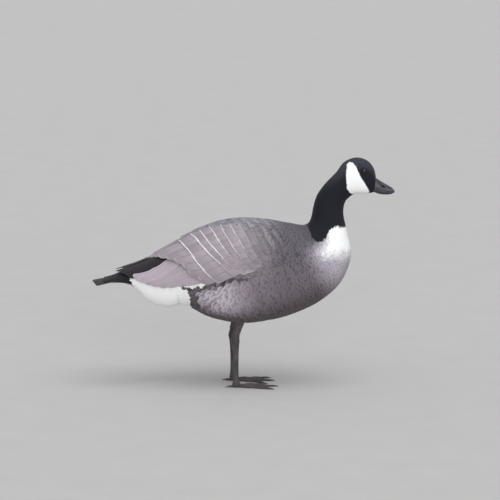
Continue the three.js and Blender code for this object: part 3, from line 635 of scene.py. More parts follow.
def thinned(points, pitch):
    """Which points to keep, so that none lies within its pitch of one kept before it."""
    tree = KDTree(len(points))
    for i, point in enumerate(points):
        tree.insert(point, i)
    tree.balance()
    free = np.ones(len(points), bool)
    kept = []
    for i, point in enumerate(points):
        if free[i]:
            kept.append(i)
            for _, j, _ in tree.find_range(point, pitch[i]):
                free[j] = False
    return np.array(kept)


def middle_lines(surface, u, angle, heading, length, s):
    """Middle lines from roots on a surface towards low u, turned down by a heading, as (vanes, rows)."""
    along, around = tangents(surface, u, angle)
    back = -unit(along)
    down = unit(np.cross(np.cross(along, around), back)) * -np.sign(angle)[:, None]
    way = np.cos(heading)[:, None] * back + np.sin(heading)[:, None] * down
    step_u, step_angle = steps(surface, u, angle, way)
    reach = length[:, None] * s
    return u[:, None] + reach * step_u[:, None], angle[:, None] + reach * step_angle[:, None]


def about_one(rng, spread, *size):
    """Draws that lie up to spread off 1."""
    return 1 + spread * rng.uniform(-1, 1, size)


# How much tones differ from feather to feather, pale or dark, between which values and up to which
VARIES = Sizes(pale=0.015, dark=0.11, turn=(0.45, 0.8), most=0.95)


def varied(rng, tone):
    """Tones that differ a little from feather to feather, the pale ones least."""
    amount = VARIES.pale + VARIES.dark * (1 - soft(tone[..., :1], *VARIES.turn))
    draws = rng.uniform(-1, 1, (len(tone), *[1] * (tone.ndim - 1)))
    return np.clip(tone * (1 + amount * draws), 0, VARIES.most)


# Feathers of the body, by place u: length, and half width and pitch as shares of it
FEATHER_LENGTH = [
    (1.2, 0.019), (3, 0.02), (4.6, 0.02), (5.5, 0.025), (6.5, 0.03), (8, 0.027), (10.5, 0.021),
    (11.5, 0.015), (12.5, 0.0105), (14, 0.0082), (16, 0.0062), (18, 0.0046), (21, 0.0034), (22, 0.003),
]
FEATHER_HALF = [(10, 0.31), (12.5, 0.25), (14, 0.2), (22, 0.2)]
FEATHER_PITCH = [(10, 0.24), (12.5, 0.25), (14, 0.23), (22, 0.25)]
# A vane's outline: its width at the root, from where it rounds off, as shares, and how square its tip is
BODY_VANE = (0.5, 0.5, 2.1)
BODY_STIFF = 0.6  # how much of a hollow behind its root a feather bridges
# How far feathers differ: length, half width, edge and lift as shares of these, and heading in radians
BODY_DIFFERS = Sizes(length=0.12, half=0.08, edge=0.05, lift=0.06, heading=0.08)
# A vane's height in coat depths at its root and tip and how early it rises, and its camber in half widths
BODY_RISE = Sizes(root=-1.12, tip=1.02, power=0.45)
CAMBER = Sizes(high=0.045, sunk=0.9)
OVER_WING = 0.003
MARK_SHIFT = 0.5  # how far a feather's colour is that of its tip, 0 to 1, not of each place along it
RING_STEP = 1.1  # spacing round the body, in pitches
LOOSE = 0.16  # how far roots stray from even rings, in pitches
APART = 0.8  # the least distance between roots, in pitches
# The wing's own feathers: between which places u and from which share of its width down they cover the body,
# and down to which share, by place u
WING_FEATHERED = Sizes(rear=2, front=9, top=0.05)
WING_COVERED = [(1.4, 1.0), (5.4, 1.0), (6.4, 0.97), (7.0, 0.9), (7.4, 0.75), (7.8, 0.4), (8.15, -0.1)]
EYE_AT = (0.253, 0.456)
EYE_CLEAR = 0.0064  # radius round the eye that no feather reaches

COATS = named(
    "name places rows columns slot",
    ("coat_vent", (1.25, 5.2), 10, 7, "body_plumage"),
    ("coat_flank", (5.2, 7.1), 10, 7, "flank_plumage"),
    ("coat_side", (7.1, 8.9), 10, 7, "flank_plumage"),
    ("coat_shoulder", (8.9, 10.7), 9, 7, "body_plumage"),
    ("coat_breast", (10.7, 12.3), 8, 5, "body_plumage"),
    ("coat_neck", (12.3, 16.3), 6, 3, "black_plumage"),
    ("coat_head", (16.3, 21.95), 5, 3, "black_plumage"),
)


def under_wing(u, angle):
    """Where the wing's own feathers cover the body."""
    share = wing_share(u, angle)
    along = (u < WING_FEATHERED.front) & (u > WING_FEATHERED.rear)
    return along & (share > WING_FEATHERED.top) & (share < by_place(WING_COVERED, u))


def over_eye(u, angle):
    """Which middle lines reach the eye."""
    point = on_body(u, angle)
    miss = np.hypot(point[..., 0] - EYE_AT[0], point[..., 2] - EYE_AT[1]).min(1)
    return (u[:, 0] > HEAD_FROM) & (miss < EYE_CLEAR)


def spread(rng, places):
    """Roots in rings round the body, staggered from ring to ring, over a length of it."""
    turn = np.linspace(-np.pi, np.pi, SPREAD_ROUND)
    found = []
    u = places[0]
    while u < places[1]:
        pitch = by_place(FEATHER_LENGTH, u) * by_place(FEATHER_PITCH, u)
        along, around = tangents(on_body, np.full(turn.shape, u), turn)
        girth = np.cumsum(np.linalg.norm(around, axis=-1)) * (turn[1] - turn[0])
        count = int(girth[-1] / (RING_STEP * pitch))
        place = np.arange(count) + 0.5 * (len(found) % 2) + rng.uniform(-LOOSE, LOOSE, count)
        angle = np.interp(place / count * girth[-1], girth, turn)
        step = pitch / np.linalg.norm(along, axis=-1).max()
        found.append(np.stack([u + step * rng.uniform(-LOOSE, LOOSE, count), angle]))
        u += step
    u, angle = np.concatenate(found, axis=1)
    clear = ~under_wing(u, angle)
    u, angle = u[clear], angle[clear]
    chosen = thinned(on_body(u, angle), APART * by_place(FEATHER_LENGTH, u) * by_place(FEATHER_PITCH, u))
    return u[chosen], angle[chosen]


def over_wing(u, angle):
    """How far the feathers between the wings and at their front lie over the wings' own feathers."""
    share = wing_share(u, angle)
    between = before("between wings", np.abs(angle)) * past("between rear", u) * before("between front", u)
    front = past("over wing rear", u) * before("over wing front", u)
    return OVER_WING * np.maximum(between, front * past("wing top", share) * before("over wing low", share))


def coat(rng, spec, material):
    kind = Feathers(spec.rows, spec.columns, BODY_VANE, TIP_ROWS.small)
    u, angle = spread(rng, spec.places)
    length = by_place(FEATHER_LENGTH, u) * about_one(rng, BODY_DIFFERS.length, len(u))
    heading = rng.normal(0, BODY_DIFFERS.heading, len(u))
    lines = middle_lines(on_body, u, angle, heading, length, kind.s)
    seen = ~over_eye(*lines)
    u, angle, length, lines = u[seen], angle[seen], length[seen], [line[seen] for line in lines]
    differs = about_one(rng, BODY_DIFFERS.half, len(u), 1, 1)
    half = (length * by_place(FEATHER_HALF, u))[:, None, None] * differs
    across = half * kind.width[None, :, None] * kind.t
    across = across * about_one(rng, BODY_DIFFERS.edge, *across.shape)
    depth = coat_depth(u, angle)[:, None, None]
    rise = kind.s[None, :, None] ** BODY_RISE.power
    lift = BODY_RISE.tip + BODY_DIFFERS.lift * rng.uniform(-1, 1, (len(u), 1, 1))
    camber = CAMBER.high * half * ((1 - kind.t**2) * kind.width[:, None] - CAMBER.sunk)
    height = depth * (rise * lift + BODY_RISE.root) + camber + over_wing(*lines)[..., None]
    points = vanes(on_body, rest, *lines, across, height, BODY_STIFF)
    shown = [MARK_SHIFT * line[:, -2:-1] + (1 - MARK_SHIFT) * line for line in lines]
    tone, edge, strength = markings(*shown, rng.uniform(-1, 1, (len(u), 1)))
    kind.add(points, varied(rng, tone), edge, strength, skin_map(u, angle))
    return kind.make(spec.name, material, spec.slot)


# Wing coverts. A row's tips lie at u = tips + slope q + bend q squared, where q goes from 0 at the wing's
# upper edge to 1 at its lower one. count is its feathers, reach where the row ends, lift how far its tips
# stand off, pale how strong their pale edge is and fade where down the wing that edge fades.
WING_ROWS = named(
    "tips slope bend length half count reach lift pale fade",
    (3.35, 2.6, 0, 0.100, 0.0150, 8, 0.96, 0.0040, 0.12, 0.9),
    (5.0, 0.75, 0.65, 0.066, 0.0145, 9, 0.94, 0.0042, 1.0, 0.8),
    (5.6, 0.8, 0.7, 0.058, 0.0140, 9, 0.94, 0.0040, 1.0, 0.66),
    (6.03, 0.4, 0.95, 0.050, 0.0135, 9, 0.93, 0.0038, 0.95, 0.62),
    (6.42, 0.5, 0.62, 0.046, 0.0130, 9, 0.91, 0.0036, 0.75, 0.58),
    (6.84, 0.36, 0.6, 0.044, 0.0125, 9, 0.88, 0.0034, 0.6, 0.6),
    (7.22, 0.36, 0.55, 0.042, 0.0120, 9, 0.84, 0.0032, 0.5, 0.55),
    (7.6, 0.36, 0.5, 0.034, 0.0115, 8, 0.78, 0.0030, 0.4, 0.5),
    (7.98, 0.34, 0.42, 0.028, 0.0110, 7, 0.7, 0.0027, 0.35, 0.5),
)
# A covert's outline, how far the tips slant along their row, and how unevenly they lie, in places u. The
# rearmost row's tips are rounder and looser.
ROW = Sizes(vane=(0.4, 0.975, 3.0), follow=1, uneven=0.02)
REAR_ROW = Sizes(vane=(0.4, 0.84, 2.0), follow=0.3, uneven=0.09)
ROW_STARTS = (0.35, 0.7)  # the first feather's place in even and odd rows, so that they alternate
# How a covert's length, lift, tone and pale edge vary, how far up its root lies, how flat it lies near the
# wing's upper edge, and how much of its pale edge is lost down the wing and over what share of the width
COVERT = Sizes(length=0.03, lift=0.0003, tone=(0.88, 1.08), pale=(0.75, 1.0), up=0.05)
COVERT_TOP = Sizes(lift=0.35, full_by=0.25)
COVERT_FADE = Sizes(lost=0.9, over=0.12)
VANE_SINK = 0.0018  # how deep the roots of wing feathers lie
# A wing vane's uneven edge, where along it its tip's slant comes in, how early it rises, its camber in half
# widths and how much of a hollow behind its root it bridges
WING_VANE = Sizes(edge=0.015, slant=(0.4, 0.95), power=0.9, camber=0.1, stiff=0.3)
ROLL = Sizes(coverts=0.0009, flight=0.0012)  # how far a vane is tilted over the one below it

# Flight feathers from the back line down: share of the wing's width at root and tip, the tip's place u,
# the length of what shows and the half width.
PRIMARIES = [
    (0.02, 0.02, 1.75, 0.125, 0.0060),
    (0.13, 0.22, 1.50, 0.130, 0.0070),
    (0.17, 0.37, 1.56, 0.128, 0.0070),
    (0.21, 0.51, 1.68, 0.124, 0.0070),
    (0.25, 0.63, 1.82, 0.118, 0.0070),
    (0.29, 0.74, 1.96, 0.112, 0.0070),
    (0.33, 0.83, 2.14, 0.104, 0.0066),
]
SECONDARIES = [
    (0.39, 0.78, 2.46, 0.110, 0.0095),
    (0.45, 0.81, 2.58, 0.108, 0.0105),
    (0.52, 0.84, 2.76, 0.104, 0.0110),
    (0.60, 0.87, 3.02, 0.098, 0.0110),
    (0.67, 0.89, 3.36, 0.092, 0.0110),
    (0.74, 0.91, 3.75, 0.086, 0.0108),
    (0.80, 0.93, 4.14, 0.082, 0.0104),
    (0.86, 0.94, 4.56, 0.078, 0.0098),
]
# Their outline, how far the lowest stands off, the step up to the next, and their tones and pale edges
FLIGHT = Sizes(vane=(0.45, 0.8, 1.8), lift=0.0012, layer=0.00038, tone=(0.92, 1.06))
FLIGHT_PALE = Sizes(black=0.08, brown=0.5)


def wing_angle(u, share):
    upper, lower, _ = wing_line(u)
    return upper + (lower - upper) * share


def tip_slant(side, u, angle, share, slope):
    """How far a row's line of tips runs along the vanes for each metre across them. u, angle and share
    are the vanes' middle lines, and slope is how the tips' place u changes with the share."""
    place, q = u[:, -1], share[:, -1]
    tip = on_body(place, angle[:, -1])
    step = 0.02
    further = place + step * slope
    row = on_body(further, side * wing_angle(further, q + step)) - tip
    heading = unit(tip - on_body(u[:, -5], angle[:, -5]))
    sideways = unit(np.cross(unit(np.cross(*tangents(on_body, place, angle[:, -1]))), heading))
    return (row * heading).sum(-1) / (row * sideways).sum(-1)


def wing_vanes(kind, rng, side, root, tip, size, lift, roll, slope, looks, width):
    """Vanes over one wing. root and tip are (u, share) of their middle lines' ends and size is their
    length and half width. slope slants the tips along their row, or not at all where it is None, and roll
    tilts each vane over the one below it. looks is their tone and how strong their pale edge is, and width
    their outline."""
    s = kind.s[None, :]
    u = root[0][:, None] + (tip[0] - root[0])[:, None] * s
    share = root[1][:, None] + (tip[1] - root[1])[:, None] * s
    angle = side * wing_angle(u, share)
    length, half = (each[:, None, None] for each in size)
    width = width[None, :, None]
    across = half * width * kind.t * about_one(rng, WING_VANE.edge, len(u), len(kind.s), len(kind.t))
    ahead = 0.0
    if slope is not None:
        slant = tip_slant(side, u, angle, share, slope)[:, None, None]
        ahead = slant * across / length * soft(s, *WING_VANE.slant)[..., None]
    t = kind.t * -side
    rise = -VANE_SINK + (lift[:, None, None] + VANE_SINK) * s[..., None] ** WING_VANE.power
    height = rise + WING_VANE.camber * half * (1 - t**2) + roll * t * width
    points = vanes(on_body, wing_relief, u, angle, across, height, WING_VANE.stiff, ahead)
    tone, pale = looks
    kind.add(points, tone, np.tile(WING_TIP, (len(u), 1)), pale, skin_map(u[:, 0], angle[:, 0]))


def coverts(rng, side, material, name):
    kind = Feathers(*VANES.covert, ROW.vane, TIP_ROWS.covert)
    for number, row in enumerate(WING_ROWS):
        form = ROW if number else REAR_ROW
        count = row.count
        share = (np.arange(count) + ROW_STARTS[number % 2]) / count * row.reach
        tip = row.tips + row.slope * share + row.bend * share**2
        tip = tip + form.uneven * rng.uniform(-1, 1, count)
        length = row.length * about_one(rng, COVERT.length, count)
        root = tip + length / STATION_LENGTH, np.clip(share - COVERT.up, 0, 1)
        tone = mix(past("shoulder", tip), WING_BROWN, SHOULDER_BROWN)
        tone = tone * rng.uniform(*COVERT.tone, count)[:, None]
        near_top = COVERT_TOP.lift + (1 - COVERT_TOP.lift) * soft(share, 0, COVERT_TOP.full_by)
        lift = (row.lift + COVERT.lift * rng.uniform(-1, 1, count)) * near_top
        fades = 1 - COVERT_FADE.lost * soft(share - row.fade, -COVERT_FADE.over, COVERT_FADE.over)
        looks = tone, row.pale * rng.uniform(*COVERT.pale, count) * fades
        size = length, np.full(count, row.half)
        slope = (row.slope + 2 * row.bend * share) * form.follow
        width = outline(kind.s, *form.vane)
        wing_vanes(kind, rng, side, root, (tip, share), size, lift, ROLL.coverts, slope, looks, width)
    return kind.make(name, material, "wing_feathers", islands=True)


def flight(rng, side, material, name):
    kind = Feathers(*VANES.flight, FLIGHT.vane, TIP_ROWS.flight)
    root, tip, end, length, half = np.array(PRIMARIES + SECONDARIES).T
    count = len(root)
    black = np.arange(count) < len(PRIMARIES)
    lift = FLIGHT.lift + FLIGHT.layer * np.arange(count)[::-1]
    tone = mix(1.0 * black, FLIGHT_BROWN, FLIGHT_BLACK) * rng.uniform(*FLIGHT.tone, count)[:, None]
    looks = tone, np.where(black, FLIGHT_PALE.black, FLIGHT_PALE.brown)
    starts = end + length / STATION_LENGTH, root
    size = length, half
    wing_vanes(kind, rng, side, starts, (end, tip), size, lift, ROLL.flight, None, looks, kind.width)
    return kind.make(name, material, "wing_feathers", islands=True)


# Tail feathers lie in layers, the middle pair on top and browner. fall is how far they drop to their tips and
# roof their slope sideways. Each further pair starts and points further out and is a little shorter.
TAIL = Sizes(pairs=8, half=0.0098, length=0.078, fall=0.014, roof=0.045, layer=0.00045)
TAIL_TIP = (-0.317, 0.2209)
TAIL_CAMBER = 0.0006
TAIL_FIRST = Sizes(root=0.003, heading=0.014)
TAIL_STEP = Sizes(root=0.0027, heading=0.023, shorter=0.0012)
TAIL_DIFFERS = Sizes(length=0.001, edge=0.02)
TAIL_LOOK = Sizes(vane=(0.5, 0.86, 2.2), brown_pairs=4, edge=0.25)


def tail_vane(rng, kind, pair, side):
    """One tail feather's points, on the left for side 1."""
    s, t = kind.s[:, None], kind.t[None, :]
    heading = TAIL_FIRST.heading + TAIL_STEP.heading * pair
    length = TAIL.length - TAIL_STEP.shorter * pair - TAIL_DIFFERS.length * rng.random()
    ragged = about_one(rng, TAIL_DIFFERS.edge, len(kind.s), len(kind.t))
    across = TAIL.half * kind.width[:, None] * t * ragged
    root = TAIL_FIRST.root + TAIL_STEP.root * pair
    y = root + length * s * math.sin(heading) + across * math.cos(heading)
    x = TAIL_TIP[0] + TAIL.length - length * s * math.cos(heading) - across * math.sin(heading)
    layer = TAIL.layer * (1 if pair == 0 and side > 0 else -pair)
    z = TAIL_TIP[1] + TAIL.fall * (1 - s) + layer - TAIL.roof * y + TAIL_CAMBER * (1 - t**2)
    points = np.stack([x, side * y, z], -1)
    return points if side > 0 else points[:, ::-1]


def tail(rng, material):
    kind = Feathers(*VANES.tail, TAIL_LOOK.vane, TIP_ROWS.tail)
    for pair in range(TAIL.pairs):
        tone = mix(np.array([max(0, 1 - pair / TAIL_LOOK.brown_pairs)]), TAIL_BLACK, TAIL_BROWN)
        for side in (-1, 1):
            points = tail_vane(rng, kind, pair, side)[None]
            kind.add(points, tone, np.array([FRINGE]), np.array([TAIL_LOOK.edge]), np.zeros((1, 2)))
    return kind.make("tail_feathers", material, "tail_feathers", islands=True)


# Skin
SKIN_STEPS = [(1.3, 12, 0.06), (12, 22.001, 0.05)]  # from, to and step of its rings, as places u


def skin(material):
    """One skin from the tail's root to the bill's, inside the coat's outer face."""
    u, angle = ring_grid(np.concatenate([np.arange(*span) for span in SKIN_STEPS]), SKIN_ROUND, -np.pi)
    points, faces = tube(off_surface(on_body, u, angle, rest(u, angle) - coat_depth(u, angle)))
    tone, _, _ = markings(u, angle, np.zeros(u.shape))
    tone = np.concatenate([tone.reshape(-1, 3), tone[0, :1], tone[-1, :1]])
    obj = piece("skin", points, faces, material, "body_plumage", {"tone": with_alpha(tone, 0.0)})
    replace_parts(obj, "torso", "neck_lower", "neck_upper", "head", "thigh_right", "thigh_left")


# Legs. Each section from the sole up: its height, how far forward of the foot's joint it lies, its radius
# fore and aft and its radius sideways, in millimetres.
LEG_SECTIONS = np.array([
    (0.5, 0.5, 7, 6.4),
    (4, 0.5, 8, 7.4),
    (11, 0.5, 7.4, 6.6),
    (24, 0, 5.6, 4.6),
    (55, 0, 5.4, 4.2),
    (86, -0.5, 6.8, 5.2),
    (98, -1, 8.6, 6.8),
    (108, 0, 7.4, 6.2),
    (121, 3, 7, 6),
    (138, 8, 9, 8),
    (170, 14, 12, 11),
]) * MM
SHIN_FEATHERS = (8.1, 9.8)  # from here up, in sections, the leg is feathered
LEG_SPREAD = 0.037
LEG_X = {"right": -0.015, "left": -0.0215}
SCUTE = Sizes(pitch=0.0032, high=0.00035, front=0.5)  # the shank's plates, which fade round its sides
# The shins' small feathers: roots tried, their least distance, size and edge, how they differ and rise, and
# where they lie on their map
SHIN = Sizes(tries=4000, apart=0.0022, length=0.010, half=0.0021, edge=0.2)
SHIN_DIFFERS = Sizes(length=0.15, half=0.08, heading=0.08)
SHIN_RISE = Sizes(tip=0.0022, power=0.8, root=-0.0006, camber=0.0004)
SHIN_MAP = Sizes(start=8, over=2, margin=0.05, middle=0.25, wide=0.35)


def on_leg(name, side):
    """One leg's surface: v in sections from the sole up, angle round it from the front."""
    def surface(v, angle):
        z, ahead, fore, half = np.moveaxis(smooth(LEG_SECTIONS, v), -1, 0)
        x = LEG_X[name] + ahead + fore * np.cos(angle)
        return np.stack([x, side * LEG_SPREAD - half * np.sin(angle), z], -1)
    return surface


def plates(along, pitch):
    """The height of overlapping plates along a length, from 0 to 1."""
    return 1 - np.mod(along / pitch, 1.0) ** 3


def shank(name, side, material):
    """A leg from its sole pad to the belly, plated in front."""
    v, angle = tube_grid(0, len(LEG_SECTIONS) - 1, GRIDS.shank)
    surface = on_leg(name, side)
    in_front = np.clip(np.cos(angle), 0, 1) ** SCUTE.front
    relief = SCUTE.high * plates(surface(v, angle)[..., 2], SCUTE.pitch) * in_front
    obj = piece(f"shank_{name}", *tube(off_surface(surface, v, angle, relief)), material, "leg_skin")
    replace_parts(obj, f"leg_{name}")


def shins(rng, material):
    """The small feathers of both shins, down to where the legs are bare."""
    kind = Feathers(*VANES.shin, BODY_VANE, TIP_ROWS.small)
    s, t = kind.s[None, :, None], kind.t
    for name, side in SIDES.items():
        surface = on_leg(name, side)
        v = rng.uniform(*SHIN_FEATHERS, SHIN.tries)
        angle = rng.uniform(-np.pi, np.pi, SHIN.tries)
        chosen = thinned(surface(v, angle), np.full(SHIN.tries, SHIN.apart))
        v, angle = v[chosen], angle[chosen]
        count = len(v)
        length = SHIN.length * about_one(rng, SHIN_DIFFERS.length, count)
        lines = middle_lines(surface, v, angle, rng.normal(0, SHIN_DIFFERS.heading, count), length, kind.s)
        ragged = about_one(rng, SHIN_DIFFERS.half, count, len(kind.s), 1)
        across = SHIN.half * kind.width[None, :, None] * t * ragged
        height = SHIN_RISE.tip * s ** SHIN_RISE.power + SHIN_RISE.root - SHIN_RISE.camber * t**2
        points = vanes(surface, lambda *at: np.zeros(at[0].shape), *lines, across, height, stiff=0.0)
        tone = varied(rng, np.tile(SHADED_BELLY_BROWN, (count, 1)))
        up = SHIN_MAP.margin + (1 - 2 * SHIN_MAP.margin) * (v - SHIN_MAP.start) / SHIN_MAP.over
        places = np.stack([up, 0.5 + side * SHIN_MAP.middle + SHIN_MAP.wide * angle / (2 * np.pi)], -1)
        kind.add(points, tone, np.tile(FRINGE, (count, 1)), np.full(count, SHIN.edge), places)
    return kind.make("coat_shins", material, "flank_plumage")


# Feet, in millimetres. Each toe: its length, its heading outwards in degrees and its half width and height
# at the root.
TOES = named(
    "name length heading half height knuckles",
    ("inner", 66, -23, 4.4, 9.5, 2),
    ("middle", 80, -2, 5, 10, 3),
    ("outer", 76, 21, 4.6, 9.5, 3),
    ("hind", 14, 170, 2.8, 6.5, 1),
)
TOE_END = Sizes(width=0.5, height=4.0, taper=0.24, start=0.9)
# Its knuckles and plates as shares of its width, and its section: where its middle lies and how far it
# reaches above and below that, as shares of its height
TOE_SKIN = Sizes(knuckle=0.11, knuckles_from=0.15, plate=0.05, pitch=2.4)
TOE_SECTION = Sizes(middle=0.42, above=0.58, below=0.4)
CLAW = Sizes(length=9.5, half=2.0, height=3.4, inside=2.5, raised=0.6, bend=1.6, ground=0.1)
FOOT_TURN = 2  # degrees that both feet turn inwards
WEB = Sizes(root=0.05, reach=0.93, hollow=0.14, top=2.6, sag=1.1, thick=1.2, ground=0.05)
PLEATS = Sizes(count=5, high=0.25, start=(0.1, 0.5), to=(0.75, 1))


def on_foot(points, name, side, heading=0.0):
    """A foot's points in millimetres, turned to a heading and set under its leg."""
    turn = math.radians(heading)
    x, y, z = np.moveaxis(points, -1, 0)
    x, y = x * math.cos(turn) - y * math.sin(turn), x * math.sin(turn) + y * math.cos(turn)
    return np.stack([x * MM + LEG_X[name], y * MM + side * LEG_SPREAD, z * MM], -1)


def toe_heading(side, toe):
    return side * (toe.heading - FOOT_TURN)


def toe_form(toe):
    """A toe along +X with its knuckles, plated above and flat below."""
    s, turn = tube_grid(0, 1, GRIDS.toe)
    up = np.sin(turn)
    bulge = np.cos(2 * np.pi * toe.knuckles * s) * soft(s, 0, TOE_SKIN.knuckles_from)
    knuckle = 1 + TOE_SKIN.knuckle * bulge
    plate = 1 + TOE_SKIN.plate * plates(s * toe.length, TOE_SKIN.pitch) * np.clip(up, 0, 1)
    end = 1 - TOE_END.taper * soft(s, TOE_END.start, 1)
    half = toe.half * (1 - (1 - TOE_END.width) * s) * knuckle * plate * end
    high = (toe.height + (TOE_END.height - toe.height) * np.sqrt(s)) * knuckle * end
    reach = np.where(up > 0, TOE_SECTION.above * plate, TOE_SECTION.below)
    z = high * (TOE_SECTION.middle + reach * up)
    return tube(np.stack([s * toe.length, half * np.cos(turn), z], -1))


def claw_form(toe):
    """A toe's claw, bent down to the ground."""
    s, turn = tube_grid(0, 1, GRIDS.claw)
    narrow = np.sqrt(np.clip(1 - s, 0.01, 1))
    middle = 0.5 * CLAW.height + CLAW.raised - CLAW.bend * s**2
    x = toe.length - CLAW.inside + (CLAW.length + CLAW.inside) * s
    z = np.maximum(middle + 0.5 * CLAW.height * narrow * np.sin(turn), CLAW.ground)
    return tube(np.stack([x, CLAW.half * narrow * np.cos(turn), z], -1))


def web_form(side, first, second):
    """The web between two toes: pleated, sagging between them and hollow at its front edge."""
    s, q = np.meshgrid(*(np.linspace(0, 1, count) for count in GRIDS.web), indexing="ij")
    arch = np.sin(np.pi * q)
    along = WEB.root + (WEB.reach - WEB.hollow * arch - WEB.root) * s
    ends = []
    for toe in (first, second):
        turn = math.radians(toe_heading(side, toe))
        ends.append(toe.length * np.array([math.cos(turn), math.sin(turn), 0]))
    flat = along[..., None] * (ends[0] + (ends[1] - ends[0]) * q[..., None])
    pleat = PLEATS.high * np.sin(2 * np.pi * PLEATS.count * q)
    pleat = pleat * soft(s, *PLEATS.start) * (1 - soft(s, *PLEATS.to))
    top = WEB.top - WEB.sag * arch * s + pleat
    low = np.maximum(top - WEB.thick * (1 - 0.5 * s), WEB.ground)
    up = np.array([0, 0, 1])
    rings = np.concatenate([flat + up * top[..., None], (flat + up * low[..., None])[::-1]])
    return tube(rings.swapaxes(0, 1))


def foot(name, side, material, horn):
    webs = [web_form(side, *pair) for pair in (TOES[:2], TOES[1:3])]
    parts = [(on_foot(points, name, side), faces) for points, faces in webs]
    claws = []
    for toe in TOES:
        heading = toe_heading(side, toe)
        for form, group in ((toe_form, parts), (claw_form, claws)):
            points, faces = form(toe)
            group.append((on_foot(points, name, side, heading), faces))
    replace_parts(piece(f"webbed_foot_{name}", *joined(parts), material, "leg_skin"), f"foot_{name}")
    piece(f"claws_{name}", *joined(claws), horn, "leg_skin")


# Bill: its top line, mouth line and under line as (x, z), and its half width along them, in millimetres.
# The first point of each lies inside the head.
CULMEN = np.array([(271, 441.5), (279.2, 438.3), (290, 431.3), (302.5, 424), (312.5, 417.6), (318, 411.6)])
TOMIUM = np.array([(269, 422), (276.8, 420), (288, 416.4), (300, 412.7), (311, 409.7), (317.8, 408.6)])
GONYS = np.array([(268, 410.5), (275.3, 408.6), (284, 405.4), (295, 403.8), (307, 404.2), (314.5, 406.6)])
BILL_HALF = np.array([11.5, 12.2, 11.2, 10, 8.7, 6.4])
MOUTH_GAP = 0.35
BILL_FULLNESS = 0.8  # below 1 its cross section is fuller than an ellipse
LOWER_NARROWER = 0.96
# Its rounded tip: the place it starts at, its length in places, its least width and its least height
BILL_TIP = Sizes(start=4.3, over=0.7, width=0.0004, height=0.25)
# The nostril and the hollow round it, which both run down by rise over run. rim is where they fade out.
NOSTRIL = Sizes(x=294, z=422, long=4.4, high=1.5, deep=3.2, rim=(0.7, 1.1), rise=-7.3, run=12.5)
FOSSA = Sizes(long=9.0, high=4.0, deep=0.5, rim=(0.4, 1.0))
BILL_SIDE = (0.1, 0.95)  # between which shares of the way up to the ridge they lie
# The nail, the groove behind it, and how far up the ridge each comes in
NAIL = Sizes(start=309.5, back=0.8, over=0.6, high=0.3, sides=(0.25, 0.5))
GROOVE = Sizes(deep=0.25, wide=0.5, sides=(0.3, 0.6))
TOOTHED = Sizes(high=0.16, to=(300, 308))  # the toothed edge: how far up it reaches and where it ends


def bill_ring(ridge, mouth, drop, u, turn):
    """Points of half a bill: a dome from its mouth line to its ridge, closed by a flat palate."""
    (ridge_x, ridge_z), (mouth_x, mouth_z) = (np.moveaxis(smooth(line, u), -1, 0) for line in (ridge, mouth))
    tip = np.clip((u - BILL_TIP.start) / BILL_TIP.over, 0, 1)
    end = np.sqrt(np.clip(1 - tip**2, BILL_TIP.width, 1))
    half = smooth(BILL_HALF[:, None], u)[..., 0] * end
    rise = np.clip(np.sin(turn), 0, 1) ** BILL_FULLNESS
    fullness = np.where(np.sin(turn) < 0, 1, BILL_FULLNESS)
    x = mouth_x + (ridge_x - mouth_x) * rise
    y = half * np.sign(np.cos(turn)) * np.abs(np.cos(turn)) ** fullness
    high = (ridge_z - mouth_z - drop) * (BILL_TIP.height + (1 - BILL_TIP.height) * end)
    z = mouth_z + drop + high * rise
    return np.stack([x, y, z], -1), rise


def upper_bill(material):
    u, turn = tube_grid(0, len(BILL_HALF) - 1, GRIDS.upper_bill)
    points, rise = bill_ring(CULMEN, TOMIUM, MOUTH_GAP / 2, u, turn)
    x, _, z = np.moveaxis(points, -1, 0)
    slope = math.atan2(NOSTRIL.rise, NOSTRIL.run)
    along = (x - NOSTRIL.x) * math.cos(slope) + (z - NOSTRIL.z) * math.sin(slope)
    high = (z - NOSTRIL.z) * math.cos(slope) - (x - NOSTRIL.x) * math.sin(slope)
    beside = np.where((rise > BILL_SIDE[0]) & (rise < BILL_SIDE[1]), 1.0, 0.0)
    pit = beside * (1 - soft(np.hypot(along / NOSTRIL.long, high / NOSTRIL.high), *NOSTRIL.rim))
    fossa = beside * (1 - soft(np.hypot(along / FOSSA.long, high / FOSSA.high), *FOSSA.rim))
    nail = soft(x, NAIL.start - NAIL.back * rise, NAIL.start + NAIL.over) * soft(rise, *NAIL.sides)
    off_groove = (x - NAIL.start + NAIL.back * rise) / GROOVE.wide
    groove = np.exp(-(off_groove**2)) * soft(rise, *GROOVE.sides)
    inward = NOSTRIL.deep * pit + FOSSA.deep * fossa - NAIL.high * nail + GROOVE.deep * groove
    points[..., 1] -= np.sign(points[..., 1]) * inward * np.abs(np.cos(turn))
    points[..., 2] -= inward * np.clip(np.sin(turn), 0, 1)
    outside = np.where(np.sin(turn) > -0.01, 1, 0)
    edge = (1 - soft(rise, 0.0, TOOTHED.high)) * (1 - soft(x, *TOOTHED.to)) * outside
    marks = np.stack([pit, edge, nail, np.ones(u.shape)], -1).reshape(-1, 4)
    marks = np.concatenate([marks, np.tile(UNMARKED, (2, 1))])
    flat, faces = tube(points * MM)
    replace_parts(piece("upper_bill", flat, faces, material, "bill_horn", {"marks": marks}), "bill_upper")


def lower_bill(material):
    u, turn = tube_grid(0, len(BILL_HALF) - 1, GRIDS.lower_bill)
    points, _ = bill_ring(GONYS, TOMIUM, -MOUTH_GAP / 2, u, turn)
    points[..., 1] *= LOWER_NARROWER
    flat, faces = tube(points * MM)
    marks = {"marks": np.tile(UNMARKED, (len(flat), 1))}
    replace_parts(piece("lower_bill", flat, faces, material, "bill_horn", marks), "bill_lower")


